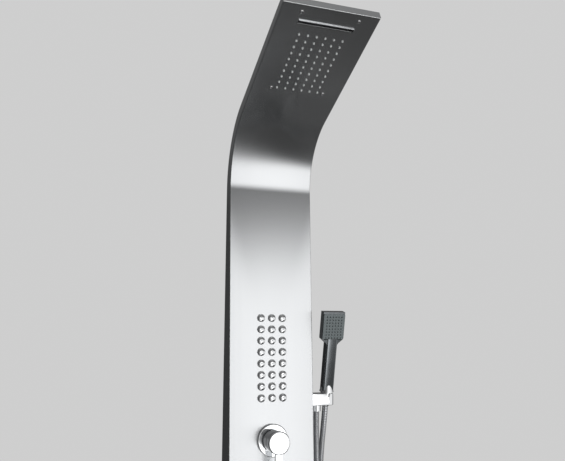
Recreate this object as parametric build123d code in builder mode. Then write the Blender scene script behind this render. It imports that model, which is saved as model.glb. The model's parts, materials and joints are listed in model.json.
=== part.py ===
from build123d import *
from math import cos, pi, radians, sin, tan
import os

# Rainfall shower column: a folded steel panel that hangs on a wall, with a rain head, a waterfall
# slot, body jets, a single-lever mixer, a diverter and a hand shower on a hose.
# Millimetres. +Z is up, the front faces -Y, and the wall is the plane y = 0.
# The origin is the middle of the upper wall bracket's two screw holes, on the wall.

os.makedirs("parts", exist_ok=True)

# ---------------------------------------------------------------- driving sizes
fit_gap = 0.05          # radial clearance of a close fit or a running fit
free_gap = 0.3          # gap between pieces that move past each other

# Folded panel
panel_width = 200.0
panel_drop = 1000.0     # face length below the bend
sheet = 1.5
face_lean = 3.0         # degrees that the face leans out towards its foot
bend_depth = 30.0       # wall to face where the bend starts
bend_z = 70.0
bend_radius = 160.0
head_tilt = 65.0        # degrees from upright
head_length = 302.0
tip_depth = 17.0
back_taper = 1.3        # degrees that the head thickens towards the bend
back_radius = 185.0
edge_radius = 2.0

# Notch in the foot's flange for the supply hoses
notch_width = 140.0
notch_depth = 52.0

# Back cover of the head and bend
cover_sheet = 1.2
cover_inset = 0.8
cover_tail = 30.0       # straight length down the wall
cover_screw_radius = 1.8
cover_screw_length = 6.0
cover_screw_head = 3.2
cover_post_radius = 4.5
cover_post_length = 8.0

# Rain head
rain_columns = 6
rain_rows = 10
rain_pitch_x = 18.5
rain_pitch_y = 16.0
rain_first = 68.0       # tip to the first row
nub_radius = 2.1
nub_height = 2.0
nub_bore = 0.6
mat_thickness = 1.5

# Waterfall slot
slot_length = 116.0
slot_width = 10.0
slot_first = 34.5       # tip to the slot's near side
lip_thickness = 1.0
lip_height = 2.5

# Housing behind the rain head and the waterfall slot
housing_width = 136.0
housing_first = 8.0     # tip to the housing's near wall
housing_length = 218.0
housing_depth = 10.0
housing_back = 2.5
rain_pocket_width = 100.0
rain_pocket_first = 60.0
rain_pocket_last = 220.0
fall_pocket_first = 30.0
fall_pocket_last = 50.0
duct_x = 53.6
duct_radius = 2.6
module_screw_x = 59.0
module_screw_first = 17.0
module_screw_last = 215.0
module_screw_radius = 2.0
module_screw_length = 9.0
dome_radius = 4.6
dome_height = 2.4

# Body jets and their manifold
jet_columns = 3
jet_rows = 8
jet_pitch = 25.6
jet_first = 298.1       # bend to the first row, down the face
jet_radius = 9.0
jet_rim = 1.4
jet_height = 4.6
jet_stem_radius = 4.5
jet_stem_length = 12.0
jet_bore = 1.3
gasket_thickness = 1.5
manifold_margin = 16.0
manifold_depth = 14.0
manifold_wall = 3.0
manifold_cover = 2.0

# Water tubes inside the panel
tube_radius = 4.5
tube_wall = 1.3
stub_wall = 1.5         # a stub's radius over its tube's
stub_length = 10.0
ferrule_wall = 1.2
ferrule_length = 7.0
ferrule_clear = 0.75    # ferrule to the panel's sheet in the head
rain_port_x = -20.0
rain_tube_x = -70.0
fall_tube_x = -86.0
jet_port_x = 30.0
jet_tube_x = 66.0
outlet_tube_x = 77.0
tube_bend = 12.0
tube_end_run = 13.0    # straight tube before a stub in the head
bend_tube_inset = 7.0
clip_gap = 0.3
clip_wall = 1.5
clip_length = 8.0
clip_foot = 6.0

# Mixer
mixer_drop = 569.5
mixer_radius = 26.0
mixer_depth = 44.0
mixer_neck = 22.0
mixer_neck_height = 4.0
mixer_inset = 24.0      # face to the middle of the body's arms
arm_reach = 45.0
arm_radius = 12.0
inlet_radius = 10.4
inlet_bore = 6.5
inlet_length = 16.0
inlet_collar = 13.0
inlet_collar_reach = 13.0
cartridge_radius = 17.5
cartridge_depth = 30.0
cartridge_shoulder = 2.0
cartridge_cap_radius = 13.5
cartridge_top = 11.0
rotor_radius = 10.0
rotor_top = 17.0
tilt_height = 12.0      # face to the tilting axis
tilt_pin_radius = 1.5
lever_wide = 8.0
lever_deep = 7.0
lever_foot = 4.0
lever_top = 42.0
locknut_height = 4.0
cartridge_nut_radius = 19.9
cartridge_nut_top = 6.8
plate_radius = 36.0
plate_height = 7.0
plate_wall = 1.5
bonnet_radius = 22.0
bonnet_wall = 1.5
bonnet_mouth = 13.0
handle_radius = 25.0
handle_foot = 16.0
handle_top = 50.0
handle_cavity_top = 38.0
handle_edge = 3.0
grip_length = 62.0
grip_wide = 15.0
grip_thick = 9.0
grub_radius = 2.5
grub_length = 8.0
button_radius = 6.0
button_depth = 2.0
mixer_tilt_limit = 18.0

# Diverter
diverter_drop = 700.0
diverter_radius = 22.0
diverter_depth = 46.0
diverter_neck = 15.0
diverter_neck_height = 5.0
diverter_inset = 24.0   # face to the middle of its feed
side_port_inset = 12.0  # face to the middle of its side ports
port_spread = 9.0       # ports above and below the middle
diverter_plate_radius = 30.0
diverter_plate_height = 6.0
bonnet_core_radius = 10.9
bonnet_core_depth = 32.0
bonnet_core_top = 8.0
spindle_radius = 4.0
spindle_foot = -12.0
spindle_top = 25.0
knob_radius = 21.0
knob_foot = 9.0
knob_top = 34.0
knob_grip_wide = 13.0
knob_cavity_radius = 16.0
knob_cavity_top = 18.0
knob_screw_radius = 2.0
knob_screw_length = 14.0
knob_screw_head = 3.6

# Hand shower holder and water outlet
holder_drop = 487.0
holder_y = -26.0
holder_reach = 44.0     # panel side to the socket's axis
holder_deep = 30.0
holder_high = 27.0
holder_end = 16.5       # socket's axis to the holder's end
holder_corner = 11.0
holder_edge = 1.2
handset_lean = 11.5
seat_radius = 14.0
seat_rise = 4.6
socket_top_radius = 12.3
socket_foot_radius = 9.8
socket_length = 34.0
seat_depth = 10.0
slot_gap = 15.5
outlet_reach = 19.5     # panel side to the outlet's axis
outlet_radius = 8.3
outlet_bore = 4.5
outlet_length = 8.0
spigot_radius = 10.4
spigot_length = 16.0
elbow_radius = 9.0
elbow_drop = 20.0
spigot_bore = 5.0
washer_thickness = 1.5
holder_nut_flat = 27.0
holder_nut_height = 6.0

# Hand shower, along its own axis from the holder's seat
seat_gap = 0.3
collar_radius = 17.0
collar_top_radius = 11.2
collar_top = 18.0
bar_width = 27.0
bar_depth = 23.0
bar_edge = 4.0
bar_foot = 3.0
neck_height = 118.0
shoulder_height = 128.0
shoulder_width = 31.0
spray_top = 192.0
spray_width = 54.0
spray_front = 10.5     # seat axis to the front of the shell
spray_rear = 8.0       # and to its back
spray_edge = 2.0
cavity_width = 44.0
cavity_depth = 13.0
face_thickness = 2.5
face_width = 53.0
face_foot = 129.0
face_top = 187.0
spray_columns = 6
spray_rows = 8
spray_pitch_x = 7.3
spray_pitch_z = 7.0
spray_middle = 156.0
spray_nub_radius = 1.4
spray_nub_height = 0.8
spray_mat_thickness = 1.5
bar_bore = 5.0
insert_radius = 7.5
insert_top = 17.0
insert_foot = -9.0
thread_radius = 9.2
seal_thickness = 2.0
cone_top_radius = 12.0
cone_foot_radius = 9.5
cone_length = 33.0
hose_bore = 3.5

# Shower hose
hose_radius = 7.0
hose_nut_radius = 10.5
hose_nut_length = 13.5

# Wall brackets and hanger bars
bracket_width = 150.0
bracket_sheet = 2.0
bracket_low = -22.0
bracket_shelf = 18.0
bracket_lip = 12.0
bracket_reach = 12.0
bracket_hole = 3.2
bracket_pitch = 110.0
hook_gap = 0.3
hanger_front = 16.5
hanger_low = -10.0
lower_bracket_drop = 930.0   # bend to the lower bracket's screws

# ---------------------------------------------------------------- shared places
stub_radius = tube_radius + stub_wall
ferrule_radius = tube_radius + fit_gap + ferrule_wall
lean = radians(face_lean)
tilt = radians(head_tilt)
back_tilt = radians(head_tilt + back_taper)
handset_tilt = radians(handset_lean)

face_out = Vector(0, -cos(lean), sin(lean))
face_up = Vector(0, sin(lean), cos(lean))
head_out = Vector(0, -cos(tilt), -sin(tilt))
head_forward = Vector(0, -sin(tilt), cos(tilt))

bend_start = Vector(0, -bend_depth, bend_z)
bend_centre = bend_start + face_out * bend_radius
bend_end = bend_centre - head_out * bend_radius
tip = bend_end + head_forward * head_length
tip_back = tip - head_out * tip_depth
foot = bend_start - face_up * panel_drop

face_plane = Plane(origin=bend_start, x_dir=(1, 0, 0), z_dir=face_out)
head_plane = Plane(origin=tip, x_dir=(1, 0, 0), z_dir=head_out)


def face_spot(x, drop, lift=0.0):
    """A plane on the lower face: x across, drop below the bend, lift out of the face."""
    origin = face_plane.from_local_coords(Vector(x, -drop, lift))
    return Plane(origin=origin, x_dir=(1, 0, 0), z_dir=face_out)


def head_spot(x, back, lift=0.0):
    """A plane under the head: x across, back from the tip, lift out of the face."""
    origin = head_plane.from_local_coords(Vector(x, -back, lift))
    return Plane(origin=origin, x_dir=(1, 0, 0), z_dir=head_out)


def side(point):
    """A point's place on the side view, Plane.YZ."""
    return (point.Y, point.Z)


def on_bend(inset, angle):
    """A point on the bend, inset behind the face, at an angle from level."""
    reach = bend_radius + inset
    return bend_centre + Vector(0, cos(angle), sin(angle)) * reach


def back_corner(inset):
    """Where the wall line and the head's back line cross, inset into the panel."""
    corner_z = tip_back.Z + tip_back.Y / tan(back_tilt)
    return Vector(0, -inset, corner_z - inset * tan(back_tilt / 2))


def on_back(inset, back):
    """A point on the head's back line, inset into the head and back from the tip."""
    forward = Vector(0, -sin(back_tilt), cos(back_tilt))
    outward = Vector(0, cos(back_tilt), sin(back_tilt))
    return tip_back - forward * back - outward * inset


bend_angle_middle = (tilt - lean) / 2

# ---------------------------------------------------------------- folded front panel
with BuildPart() as front_panel:
    with BuildSketch(Plane.YZ):
        with BuildLine():
            Line(side(foot), side(bend_start))
            ThreePointArc(side(bend_start), side(on_bend(0, bend_angle_middle)), side(bend_end))
            Line(side(bend_end), side(tip))
            Line(side(tip), side(tip_back))
            FilletPolyline(side(tip_back), side(back_corner(0)), (0, foot.Z), radius=back_radius)
            Line((0, foot.Z), side(foot))
        make_face()
    extrude(amount=panel_width / 2, both=True)
    front_faces = front_panel.faces().filter_by(lambda f: f.normal_at(f.center()).Y < -0.3)
    front_edges = front_faces.edges().filter_by(
        lambda e: e.length > 50 and not (abs(e.center().X) < 1 and abs((e @ 0.5).Y + bend_depth) < 0.1)
    )
    outer_edges = front_edges.filter_by(
        lambda e: abs(abs((e @ 0.5).X) - panel_width / 2) < 0.1
        or ((e @ 0.5) - tip).length < 0.1
        or ((e @ 0.5) - foot).length < 0.1
    )
    fillet(outer_edges, edge_radius)
    with BuildSketch(Plane.YZ):
        inner_foot = foot - face_out * sheet + face_up * sheet
        inner_tip = tip - head_out * sheet - head_forward * sheet
        clear_tip = inner_tip - head_out * 3 * tip_depth
        with BuildLine():
            Line(side(inner_foot), side(bend_start - face_out * sheet))
            ThreePointArc(
                side(bend_start - face_out * sheet),
                side(on_bend(sheet, bend_angle_middle)),
                side(bend_end - head_out * sheet),
            )
            Polyline(
                side(bend_end - head_out * sheet),
                side(inner_tip),
                side(clear_tip),
                (bend_depth, clear_tip.Z),
                (bend_depth, inner_foot.Z),
                side(inner_foot),
            )
        make_face()
    extrude(amount=panel_width / 2 - sheet, both=True, mode=Mode.SUBTRACT)
    # Rain holes, screw holes and the waterfall slot
    rain_middle = rain_first + rain_pitch_y * (rain_rows - 1) / 2
    with BuildSketch(head_spot(0, rain_middle)):
        with GridLocations(rain_pitch_x, rain_pitch_y, rain_columns, rain_rows):
            Circle(nub_radius + fit_gap)
    extrude(amount=2 * sheet, both=True, mode=Mode.SUBTRACT)
    screw_span = module_screw_last - module_screw_first
    screw_middle = (module_screw_last + module_screw_first) / 2
    with BuildSketch(head_spot(0, screw_middle)):
        with GridLocations(2 * module_screw_x, screw_span, 2, 2):
            Circle(module_screw_radius + fit_gap)
    extrude(amount=2 * sheet, both=True, mode=Mode.SUBTRACT)
    with BuildSketch(head_spot(0, slot_first + slot_width / 2)):
        Rectangle(slot_length, slot_width)
    extrude(amount=2 * sheet, both=True, mode=Mode.SUBTRACT)
    # Jet, mixer and diverter holes
    jet_middle = jet_first + jet_pitch * (jet_rows - 1) / 2
    with BuildSketch(face_spot(0, jet_middle)):
        with GridLocations(jet_pitch, jet_pitch, jet_columns, jet_rows):
            Circle(jet_stem_radius + fit_gap)
    extrude(amount=2 * sheet, both=True, mode=Mode.SUBTRACT)
    with BuildSketch(face_spot(0, mixer_drop)):
        Circle(mixer_neck + free_gap)
    extrude(amount=2 * sheet, both=True, mode=Mode.SUBTRACT)
    with BuildSketch(face_spot(0, diverter_drop)):
        Circle(diverter_neck + free_gap)
    extrude(amount=2 * sheet, both=True, mode=Mode.SUBTRACT)
    # Notch in the foot's flange, open to the wall
    with BuildSketch(Plane.XY.offset(foot.Z)):
        with Locations((0, 0)):
            Rectangle(notch_width, 2 * notch_depth)
    extrude(amount=2 * sheet, both=True, mode=Mode.SUBTRACT)
    # Outlet hole in the right-hand flange
    holder_z = bend_z - holder_drop
    with BuildSketch(Plane.YZ.offset(panel_width / 2)):
        with Locations((holder_y, holder_z)):
            Circle(spigot_radius + free_gap)
    extrude(amount=2 * sheet, both=True, mode=Mode.SUBTRACT)
front_panel.part.label = "front_panel"
export_step(front_panel.part, "parts/front_panel.step")

# ---------------------------------------------------------------- back cover of the head and bend
cover_under = cover_inset + cover_sheet
cover_foot_z = back_corner(0).Z - back_radius * tan(back_tilt / 2) - cover_tail
cover_first = sheet + free_gap
with BuildPart() as back_cover:
    with BuildSketch(Plane.YZ):
        with BuildLine():
            outer_path = FilletPolyline(
                side(on_back(cover_inset, cover_first)),
                side(back_corner(cover_inset)),
                (-cover_inset, cover_foot_z),
                radius=back_radius - cover_inset,
            )
            inner_path = FilletPolyline(
                side(on_back(cover_under, cover_first)),
                side(back_corner(cover_under)),
                (-cover_under, cover_foot_z),
                radius=back_radius - cover_under,
            )
            Line(outer_path @ 0, inner_path @ 0)
            Line(outer_path @ 1, inner_path @ 1)
        make_face()
    extrude(amount=panel_width / 2 - sheet - free_gap, both=True)
    cover_plane = Plane(
        origin=on_back(cover_inset, module_screw_last),
        x_dir=(1, 0, 0),
        z_dir=(0, cos(back_tilt), sin(back_tilt)),
    )
    with BuildSketch(cover_plane):
        with Locations((-module_screw_x, 0), (module_screw_x, 0)):
            Circle(cover_screw_radius + fit_gap)
    extrude(amount=-2 * cover_sheet, mode=Mode.SUBTRACT)
back_cover.part.label = "back_cover"
export_step(back_cover.part, "parts/back_cover.step")

with BuildPart() as cover_screws:
    with BuildSketch(cover_plane):
        with Locations((-module_screw_x, 0), (module_screw_x, 0)):
            Circle(cover_screw_head)
    extrude(amount=cover_screw_radius)
    with BuildSketch(cover_plane):
        with Locations((-module_screw_x, 0), (module_screw_x, 0)):
            Circle(cover_screw_radius)
    extrude(amount=-cover_screw_length)
cover_screws.part.label = "cover_screws"
export_step(cover_screws.part, "parts/cover_screws.step")

# ---------------------------------------------------------------- rain nozzle mat
mat_top = -sheet
mat_back = mat_top - mat_thickness
housing_middle = housing_first + housing_length / 2
slot_middle = slot_first + slot_width / 2
with BuildPart() as nozzle_mat:
    with BuildSketch(head_spot(0, housing_middle, mat_back)):
        RectangleRounded(housing_width, housing_length, edge_radius)
    extrude(amount=mat_thickness)
    with BuildSketch(head_spot(0, rain_middle, mat_top)):
        with GridLocations(rain_pitch_x, rain_pitch_y, rain_columns, rain_rows):
            Circle(nub_radius)
    extrude(amount=sheet + nub_height, taper=4)
    with BuildSketch(head_spot(0, rain_middle, nub_height)):
        with GridLocations(rain_pitch_x, rain_pitch_y, rain_columns, rain_rows):
            Circle(nub_bore)
    extrude(amount=-(nub_height + sheet + mat_thickness), mode=Mode.SUBTRACT)
    with BuildSketch(head_spot(0, screw_middle, mat_top)):
        with GridLocations(2 * module_screw_x, screw_span, 2, 2):
            Circle(module_screw_radius + fit_gap)
    extrude(amount=-mat_thickness, mode=Mode.SUBTRACT)
    with BuildSketch(head_spot(0, slot_middle, mat_top)):
        Rectangle(slot_length, slot_width)
    extrude(amount=-mat_thickness, mode=Mode.SUBTRACT)
nozzle_mat.part.label = "nozzle_mat"
export_step(nozzle_mat.part, "parts/nozzle_mat.step")

# ---------------------------------------------------------------- rain and waterfall housing
pocket_depth = housing_depth - housing_back
rain_pocket_length = rain_pocket_last - rain_pocket_first
fall_pocket_length = fall_pocket_last - fall_pocket_first
housing_rear = housing_first + housing_length
stub_lift = -sheet - ferrule_clear - ferrule_radius
with BuildPart() as spray_housing:
    with BuildSketch(head_spot(0, housing_middle, mat_back)):
        RectangleRounded(housing_width, housing_length, edge_radius)
    extrude(amount=-housing_depth)
    # Two posts that the back cover is screwed to
    with BuildSketch(cover_plane.offset(-cover_sheet - free_gap)):
        with Locations((-module_screw_x, 0), (module_screw_x, 0)):
            Circle(cover_post_radius)
    extrude(amount=-cover_post_length)
    with BuildSketch(cover_plane):
        with Locations((-module_screw_x, 0), (module_screw_x, 0)):
            Circle(cover_screw_radius + fit_gap)
    extrude(amount=-(cover_screw_length + free_gap), mode=Mode.SUBTRACT)
    with BuildSketch(head_spot(0, rain_pocket_first + rain_pocket_length / 2, mat_back)):
        RectangleRounded(rain_pocket_width, rain_pocket_length, edge_radius)
    extrude(amount=-pocket_depth, mode=Mode.SUBTRACT)
    with BuildSketch(head_spot(0, fall_pocket_first + fall_pocket_length / 2, mat_back)):
        RectangleRounded(slot_length, fall_pocket_length, edge_radius)
    extrude(amount=-pocket_depth, mode=Mode.SUBTRACT)
    rear_plane = Plane(
        origin=head_spot(0, housing_rear, stub_lift).origin,
        x_dir=(1, 0, 0),
        z_dir=-head_forward,
    )
    with BuildSketch(rear_plane):
        with Locations((rain_port_x, 0), (-duct_x, 0)):
            Circle(stub_radius - 1)
    extrude(amount=stub_length)
    with BuildSketch(rear_plane.offset(stub_length)):
        with Locations((rain_port_x, 0)):
            Circle(duct_radius)
    extrude(amount=-(stub_length + housing_rear - rain_pocket_last), mode=Mode.SUBTRACT)
    with BuildSketch(rear_plane.offset(stub_length)):
        with Locations((-duct_x, 0)):
            Circle(duct_radius)
    extrude(amount=-(stub_length + housing_rear - fall_pocket_last), mode=Mode.SUBTRACT)
    with BuildSketch(head_spot(0, screw_middle, mat_back)):
        with GridLocations(2 * module_screw_x, screw_span, 2, 2):
            Circle(module_screw_radius + fit_gap)
    extrude(amount=-(module_screw_length - sheet - mat_thickness + free_gap), mode=Mode.SUBTRACT)
spray_housing.part.label = "spray_housing"
export_step(spray_housing.part, "parts/spray_housing.step")

# Bent blade that sheets the water, along the tip side of the slot
lip_run = slot_first - fall_pocket_first
with BuildPart() as waterfall_lip:
    with BuildSketch(head_spot(0, slot_first + lip_thickness / 2, lip_height)):
        Rectangle(slot_length - 2 * free_gap, lip_thickness)
    extrude(amount=-(lip_height + sheet + mat_thickness + lip_thickness))
    with BuildSketch(head_spot(0, fall_pocket_first + (lip_run + lip_thickness) / 2, mat_back)):
        Rectangle(slot_length - 4 * edge_radius, lip_run + lip_thickness - 2 * free_gap)
    extrude(amount=-lip_thickness)
waterfall_lip.part.label = "waterfall_lip"
export_step(waterfall_lip.part, "parts/waterfall_lip.step")

# Dome-headed screws that hold the housing to the panel
dome_ball = (dome_radius**2 + dome_height**2) / (2 * dome_height)
with BuildPart() as dome_screw:
    with BuildSketch(Plane.XZ):
        with BuildLine():
            Line((0, -module_screw_length), (module_screw_radius, -module_screw_length))
            Line((module_screw_radius, -module_screw_length), (module_screw_radius, 0))
            Line((module_screw_radius, 0), (dome_radius, 0))
            RadiusArc((dome_radius, 0), (0, dome_height), -dome_ball)
            Line((0, dome_height), (0, -module_screw_length))
        make_face()
    revolve(axis=Axis.Z)
with BuildPart(head_spot(0, screw_middle)) as head_screws:
    with GridLocations(2 * module_screw_x, screw_span, 2, 2):
        add(dome_screw.part)
head_screws.part.label = "head_screws"
export_step(head_screws.part, "parts/head_screws.step")

# ---------------------------------------------------------------- body jets
with BuildPart() as one_jet:
    with BuildSketch(Plane.XZ):
        with BuildLine():
            Line((0, -jet_stem_length), (jet_stem_radius, -jet_stem_length))
            Line((jet_stem_radius, -jet_stem_length), (jet_stem_radius, 0))
            Line((jet_stem_radius, 0), (jet_radius, 0))
            Line((jet_radius, 0), (jet_radius, jet_rim))
            Spline(
                (jet_radius, jet_rim),
                (jet_radius * 0.62, jet_height * 0.88),
                (0, jet_height),
                tangents=((-0.35, 1), (-1, 0)),
            )
            Line((0, jet_height), (0, -jet_stem_length))
        make_face()
    revolve(axis=Axis.Z)
    with BuildSketch(Plane.XY.offset(jet_height)):
        Circle(jet_bore)
    extrude(amount=-(jet_height + jet_stem_length), mode=Mode.SUBTRACT)
with BuildPart(face_spot(0, jet_middle)) as body_jets:
    with GridLocations(jet_pitch, jet_pitch, jet_columns, jet_rows):
        add(one_jet.part)
body_jets.part.label = "body_jets"
export_step(body_jets.part, "parts/body_jets.step")

manifold_width = jet_pitch * (jet_columns - 1) + 2 * manifold_margin
manifold_length = jet_pitch * (jet_rows - 1) + 2 * manifold_margin
with BuildPart() as jet_gasket:
    with BuildSketch(face_spot(0, jet_middle, -sheet)):
        RectangleRounded(manifold_width, manifold_length, edge_radius)
        with GridLocations(jet_pitch, jet_pitch, jet_columns, jet_rows):
            Circle(jet_stem_radius + fit_gap, mode=Mode.SUBTRACT)
    extrude(amount=-gasket_thickness)
jet_gasket.part.label = "jet_gasket"
export_step(jet_gasket.part, "parts/jet_gasket.step")

manifold_front = -sheet - gasket_thickness
manifold_end = jet_middle + manifold_length / 2
manifold_port_lift = manifold_front - manifold_depth / 2
port_plane = Plane(
    origin=face_spot(jet_port_x, manifold_end, manifold_port_lift).origin,
    x_dir=(1, 0, 0),
    z_dir=-face_up,
)
with BuildPart() as jet_manifold:
    with BuildSketch(face_spot(0, jet_middle, manifold_front)):
        RectangleRounded(manifold_width, manifold_length, edge_radius)
    extrude(amount=-manifold_depth)
    with BuildSketch(face_spot(0, jet_middle, manifold_front - manifold_wall)):
        RectangleRounded(
            manifold_width - 2 * manifold_wall,
            manifold_length - 2 * manifold_wall,
            edge_radius,
        )
    extrude(amount=-manifold_depth, mode=Mode.SUBTRACT)
    with BuildSketch(face_spot(0, jet_middle, manifold_front)):
        with GridLocations(jet_pitch, jet_pitch, jet_columns, jet_rows):
            Circle(jet_stem_radius + fit_gap)
    extrude(amount=-2 * manifold_wall, mode=Mode.SUBTRACT)
    with BuildSketch(port_plane):
        Circle(stub_radius)
    extrude(amount=stub_length)
    with BuildSketch(port_plane.offset(stub_length)):
        Circle(tube_radius - tube_wall)
    extrude(amount=-(stub_length + 2 * manifold_wall), mode=Mode.SUBTRACT)
jet_manifold.part.label = "jet_manifold"
export_step(jet_manifold.part, "parts/jet_manifold.step")

with BuildPart() as manifold_lid:
    with BuildSketch(face_spot(0, jet_middle, manifold_front - manifold_depth)):
        RectangleRounded(manifold_width, manifold_length, edge_radius)
    extrude(amount=-manifold_cover)
manifold_lid.part.label = "manifold_lid"
export_step(manifold_lid.part, "parts/manifold_lid.step")

# ---------------------------------------------------------------- mixer
mixer_plane = face_spot(0, mixer_drop)
mixer_back = mixer_plane.offset(-sheet)
inlet_down = Vector(0, 0, -1)
arm_plane = Plane(origin=face_spot(0, mixer_drop, -mixer_inset).origin, x_dir=face_up, z_dir=(1, 0, 0))
arm_centre = arm_plane.origin
inlet_length_whole = inlet_collar_reach + inlet_length
with BuildPart() as mixer_body:
    with BuildSketch(mixer_back):
        Circle(mixer_radius)
    extrude(amount=-(mixer_depth - sheet))
    with BuildSketch(mixer_plane.offset(mixer_neck_height)):
        Circle(mixer_neck)
    extrude(amount=-(mixer_neck_height + sheet))
    with BuildSketch(arm_plane):
        Circle(arm_radius)
    extrude(amount=arm_reach + arm_radius, both=True)
    for hand in (-1, 1):
        inlet_top = Plane(origin=arm_centre + Vector(hand * arm_reach, 0, 0), z_dir=inlet_down)
        with BuildSketch(inlet_top):
            Circle(inlet_radius)
        extrude(amount=inlet_length_whole)
        with BuildSketch(inlet_top):
            Circle(inlet_collar)
        extrude(amount=inlet_collar_reach)
    # Outlet boss towards the diverter
    outlet_plane = Plane(origin=arm_centre, x_dir=(1, 0, 0), z_dir=-face_up)
    with BuildSketch(outlet_plane):
        Circle(stub_radius + 1)
    extrude(amount=mixer_radius + stub_length)
    # Cartridge seat and water ways
    with BuildSketch(mixer_plane.offset(mixer_neck_height)):
        Circle(cartridge_nut_radius + fit_gap)
    extrude(amount=-(mixer_neck_height - 1), mode=Mode.SUBTRACT)
    with BuildSketch(mixer_plane.offset(mixer_neck_height)):
        Circle(cartridge_radius + fit_gap)
    extrude(amount=-(mixer_neck_height + cartridge_depth), mode=Mode.SUBTRACT)
    with BuildSketch(arm_plane):
        Circle(inlet_bore - 1)
    extrude(amount=arm_reach, both=True, mode=Mode.SUBTRACT)
    for hand in (-1, 1):
        inlet_top = Plane(origin=arm_centre + Vector(hand * arm_reach, 0, 0), z_dir=inlet_down)
        with BuildSketch(inlet_top):
            Circle(inlet_bore)
        extrude(amount=inlet_length_whole, mode=Mode.SUBTRACT)
    with BuildSketch(outlet_plane):
        Circle(tube_radius - tube_wall)
    extrude(amount=mixer_radius + stub_length, mode=Mode.SUBTRACT)
mixer_body.part.label = "mixer_body"
export_step(mixer_body.part, "parts/mixer_body.step")

with BuildPart() as mixer_locknut:
    with BuildSketch(mixer_plane):
        RegularPolygon(mixer_neck + 8, 6)
        Circle(mixer_neck + fit_gap, mode=Mode.SUBTRACT)
    extrude(amount=locknut_height)
mixer_locknut.part.label = "mixer_locknut"
export_step(mixer_locknut.part, "parts/mixer_locknut.step")

with BuildPart() as mixer_cartridge:
    with BuildSketch(mixer_plane.offset(-cartridge_depth)):
        Circle(cartridge_radius)
    extrude(amount=cartridge_depth + 1)
    with BuildSketch(mixer_plane):
        Circle(cartridge_cap_radius)
    extrude(amount=cartridge_top)
    with BuildSketch(mixer_plane):
        Circle(rotor_radius + fit_gap)
    extrude(amount=cartridge_top, mode=Mode.SUBTRACT)
    with BuildSketch(mixer_plane.offset(-cartridge_depth)):
        with Locations((-6, 4), (6, 4), (0, -7)):
            Circle(3.5)
    extrude(amount=cartridge_depth - 4, mode=Mode.SUBTRACT)
mixer_cartridge.part.label = "mixer_cartridge"
export_step(mixer_cartridge.part, "parts/mixer_cartridge.step")

with BuildPart() as cartridge_nut:
    with BuildSketch(mixer_plane.offset(1)):
        Circle(cartridge_nut_radius)
        Circle(cartridge_cap_radius + fit_gap, mode=Mode.SUBTRACT)
    extrude(amount=cartridge_nut_top - 1)
cartridge_nut.part.label = "cartridge_nut"
export_step(cartridge_nut.part, "parts/cartridge_nut.step")

with BuildPart() as cartridge_rotor:
    with BuildSketch(mixer_plane.offset(free_gap)):
        Circle(rotor_radius)
    extrude(amount=rotor_top - free_gap)
    with BuildSketch(mixer_plane.offset(lever_foot - 1)):
        Rectangle(lever_wide + 2 * fit_gap, 2 * rotor_radius)
    extrude(amount=rotor_top, mode=Mode.SUBTRACT)
    pin_plane = Plane(
        origin=mixer_plane.offset(tilt_height).origin, x_dir=face_up, z_dir=(1, 0, 0)
    )
    with BuildSketch(pin_plane):
        Circle(tilt_pin_radius + fit_gap / 2)
    extrude(amount=rotor_radius, both=True, mode=Mode.SUBTRACT)
cartridge_rotor.part.label = "cartridge_rotor"
export_step(cartridge_rotor.part, "parts/cartridge_rotor.step")

with BuildPart() as tilt_pin:
    with BuildSketch(pin_plane):
        Circle(tilt_pin_radius)
    extrude(amount=rotor_radius - 1, both=True)
tilt_pin.part.label = "tilt_pin"
export_step(tilt_pin.part, "parts/tilt_pin.step")

with BuildPart() as cartridge_lever:
    with BuildSketch(mixer_plane.offset(lever_foot)):
        Rectangle(lever_wide, lever_deep)
    extrude(amount=lever_top - lever_foot)
    with BuildSketch(pin_plane):
        Circle(tilt_pin_radius + fit_gap)
    extrude(amount=lever_wide, both=True, mode=Mode.SUBTRACT)
cartridge_lever.part.label = "cartridge_lever"
export_step(cartridge_lever.part, "parts/cartridge_lever.step")

# Wall plate of the mixer: a shallow dish
with BuildPart() as mixer_plate:
    with BuildSketch(mixer_plane):
        Circle(plate_radius)
    extrude(amount=plate_height)
    fillet(mixer_plate.edges().sort_by(lambda e: (e.center() - mixer_plane.origin).dot(face_out))[-1], 2.5)
    with BuildSketch(mixer_plane):
        Circle(plate_radius - plate_wall)
    extrude(amount=plate_height - plate_wall, mode=Mode.SUBTRACT)
    with BuildSketch(mixer_plane):
        Circle(bonnet_radius - plate_wall)
    extrude(amount=plate_height, mode=Mode.SUBTRACT)
mixer_plate.part.label = "mixer_plate"
export_step(mixer_plate.part, "parts/mixer_plate.step")

# Ball-shaped bonnet that the handle slides round
with BuildPart() as mixer_bonnet:
    with BuildSketch(Plane.XZ):
        Circle(bonnet_radius)
        Circle(bonnet_radius - bonnet_wall, mode=Mode.SUBTRACT)
        with Locations((-bonnet_radius, 0)):
            Rectangle(2 * bonnet_radius, 3 * bonnet_radius, mode=Mode.SUBTRACT)
        with Locations((0, plate_height - tilt_height - bonnet_radius)):
            Rectangle(4 * bonnet_radius, 2 * bonnet_radius, mode=Mode.SUBTRACT)
        with Locations((0, 0)):
            Rectangle(2 * bonnet_mouth, 3 * bonnet_radius, mode=Mode.SUBTRACT)
    revolve(axis=Axis.Z)
mixer_bonnet.part.label = "mixer_bonnet"
bonnet_placed = mixer_plane.offset(tilt_height).location * mixer_bonnet.part
bonnet_placed.label = "mixer_bonnet"
export_step(bonnet_placed, "parts/mixer_bonnet.step")

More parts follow.
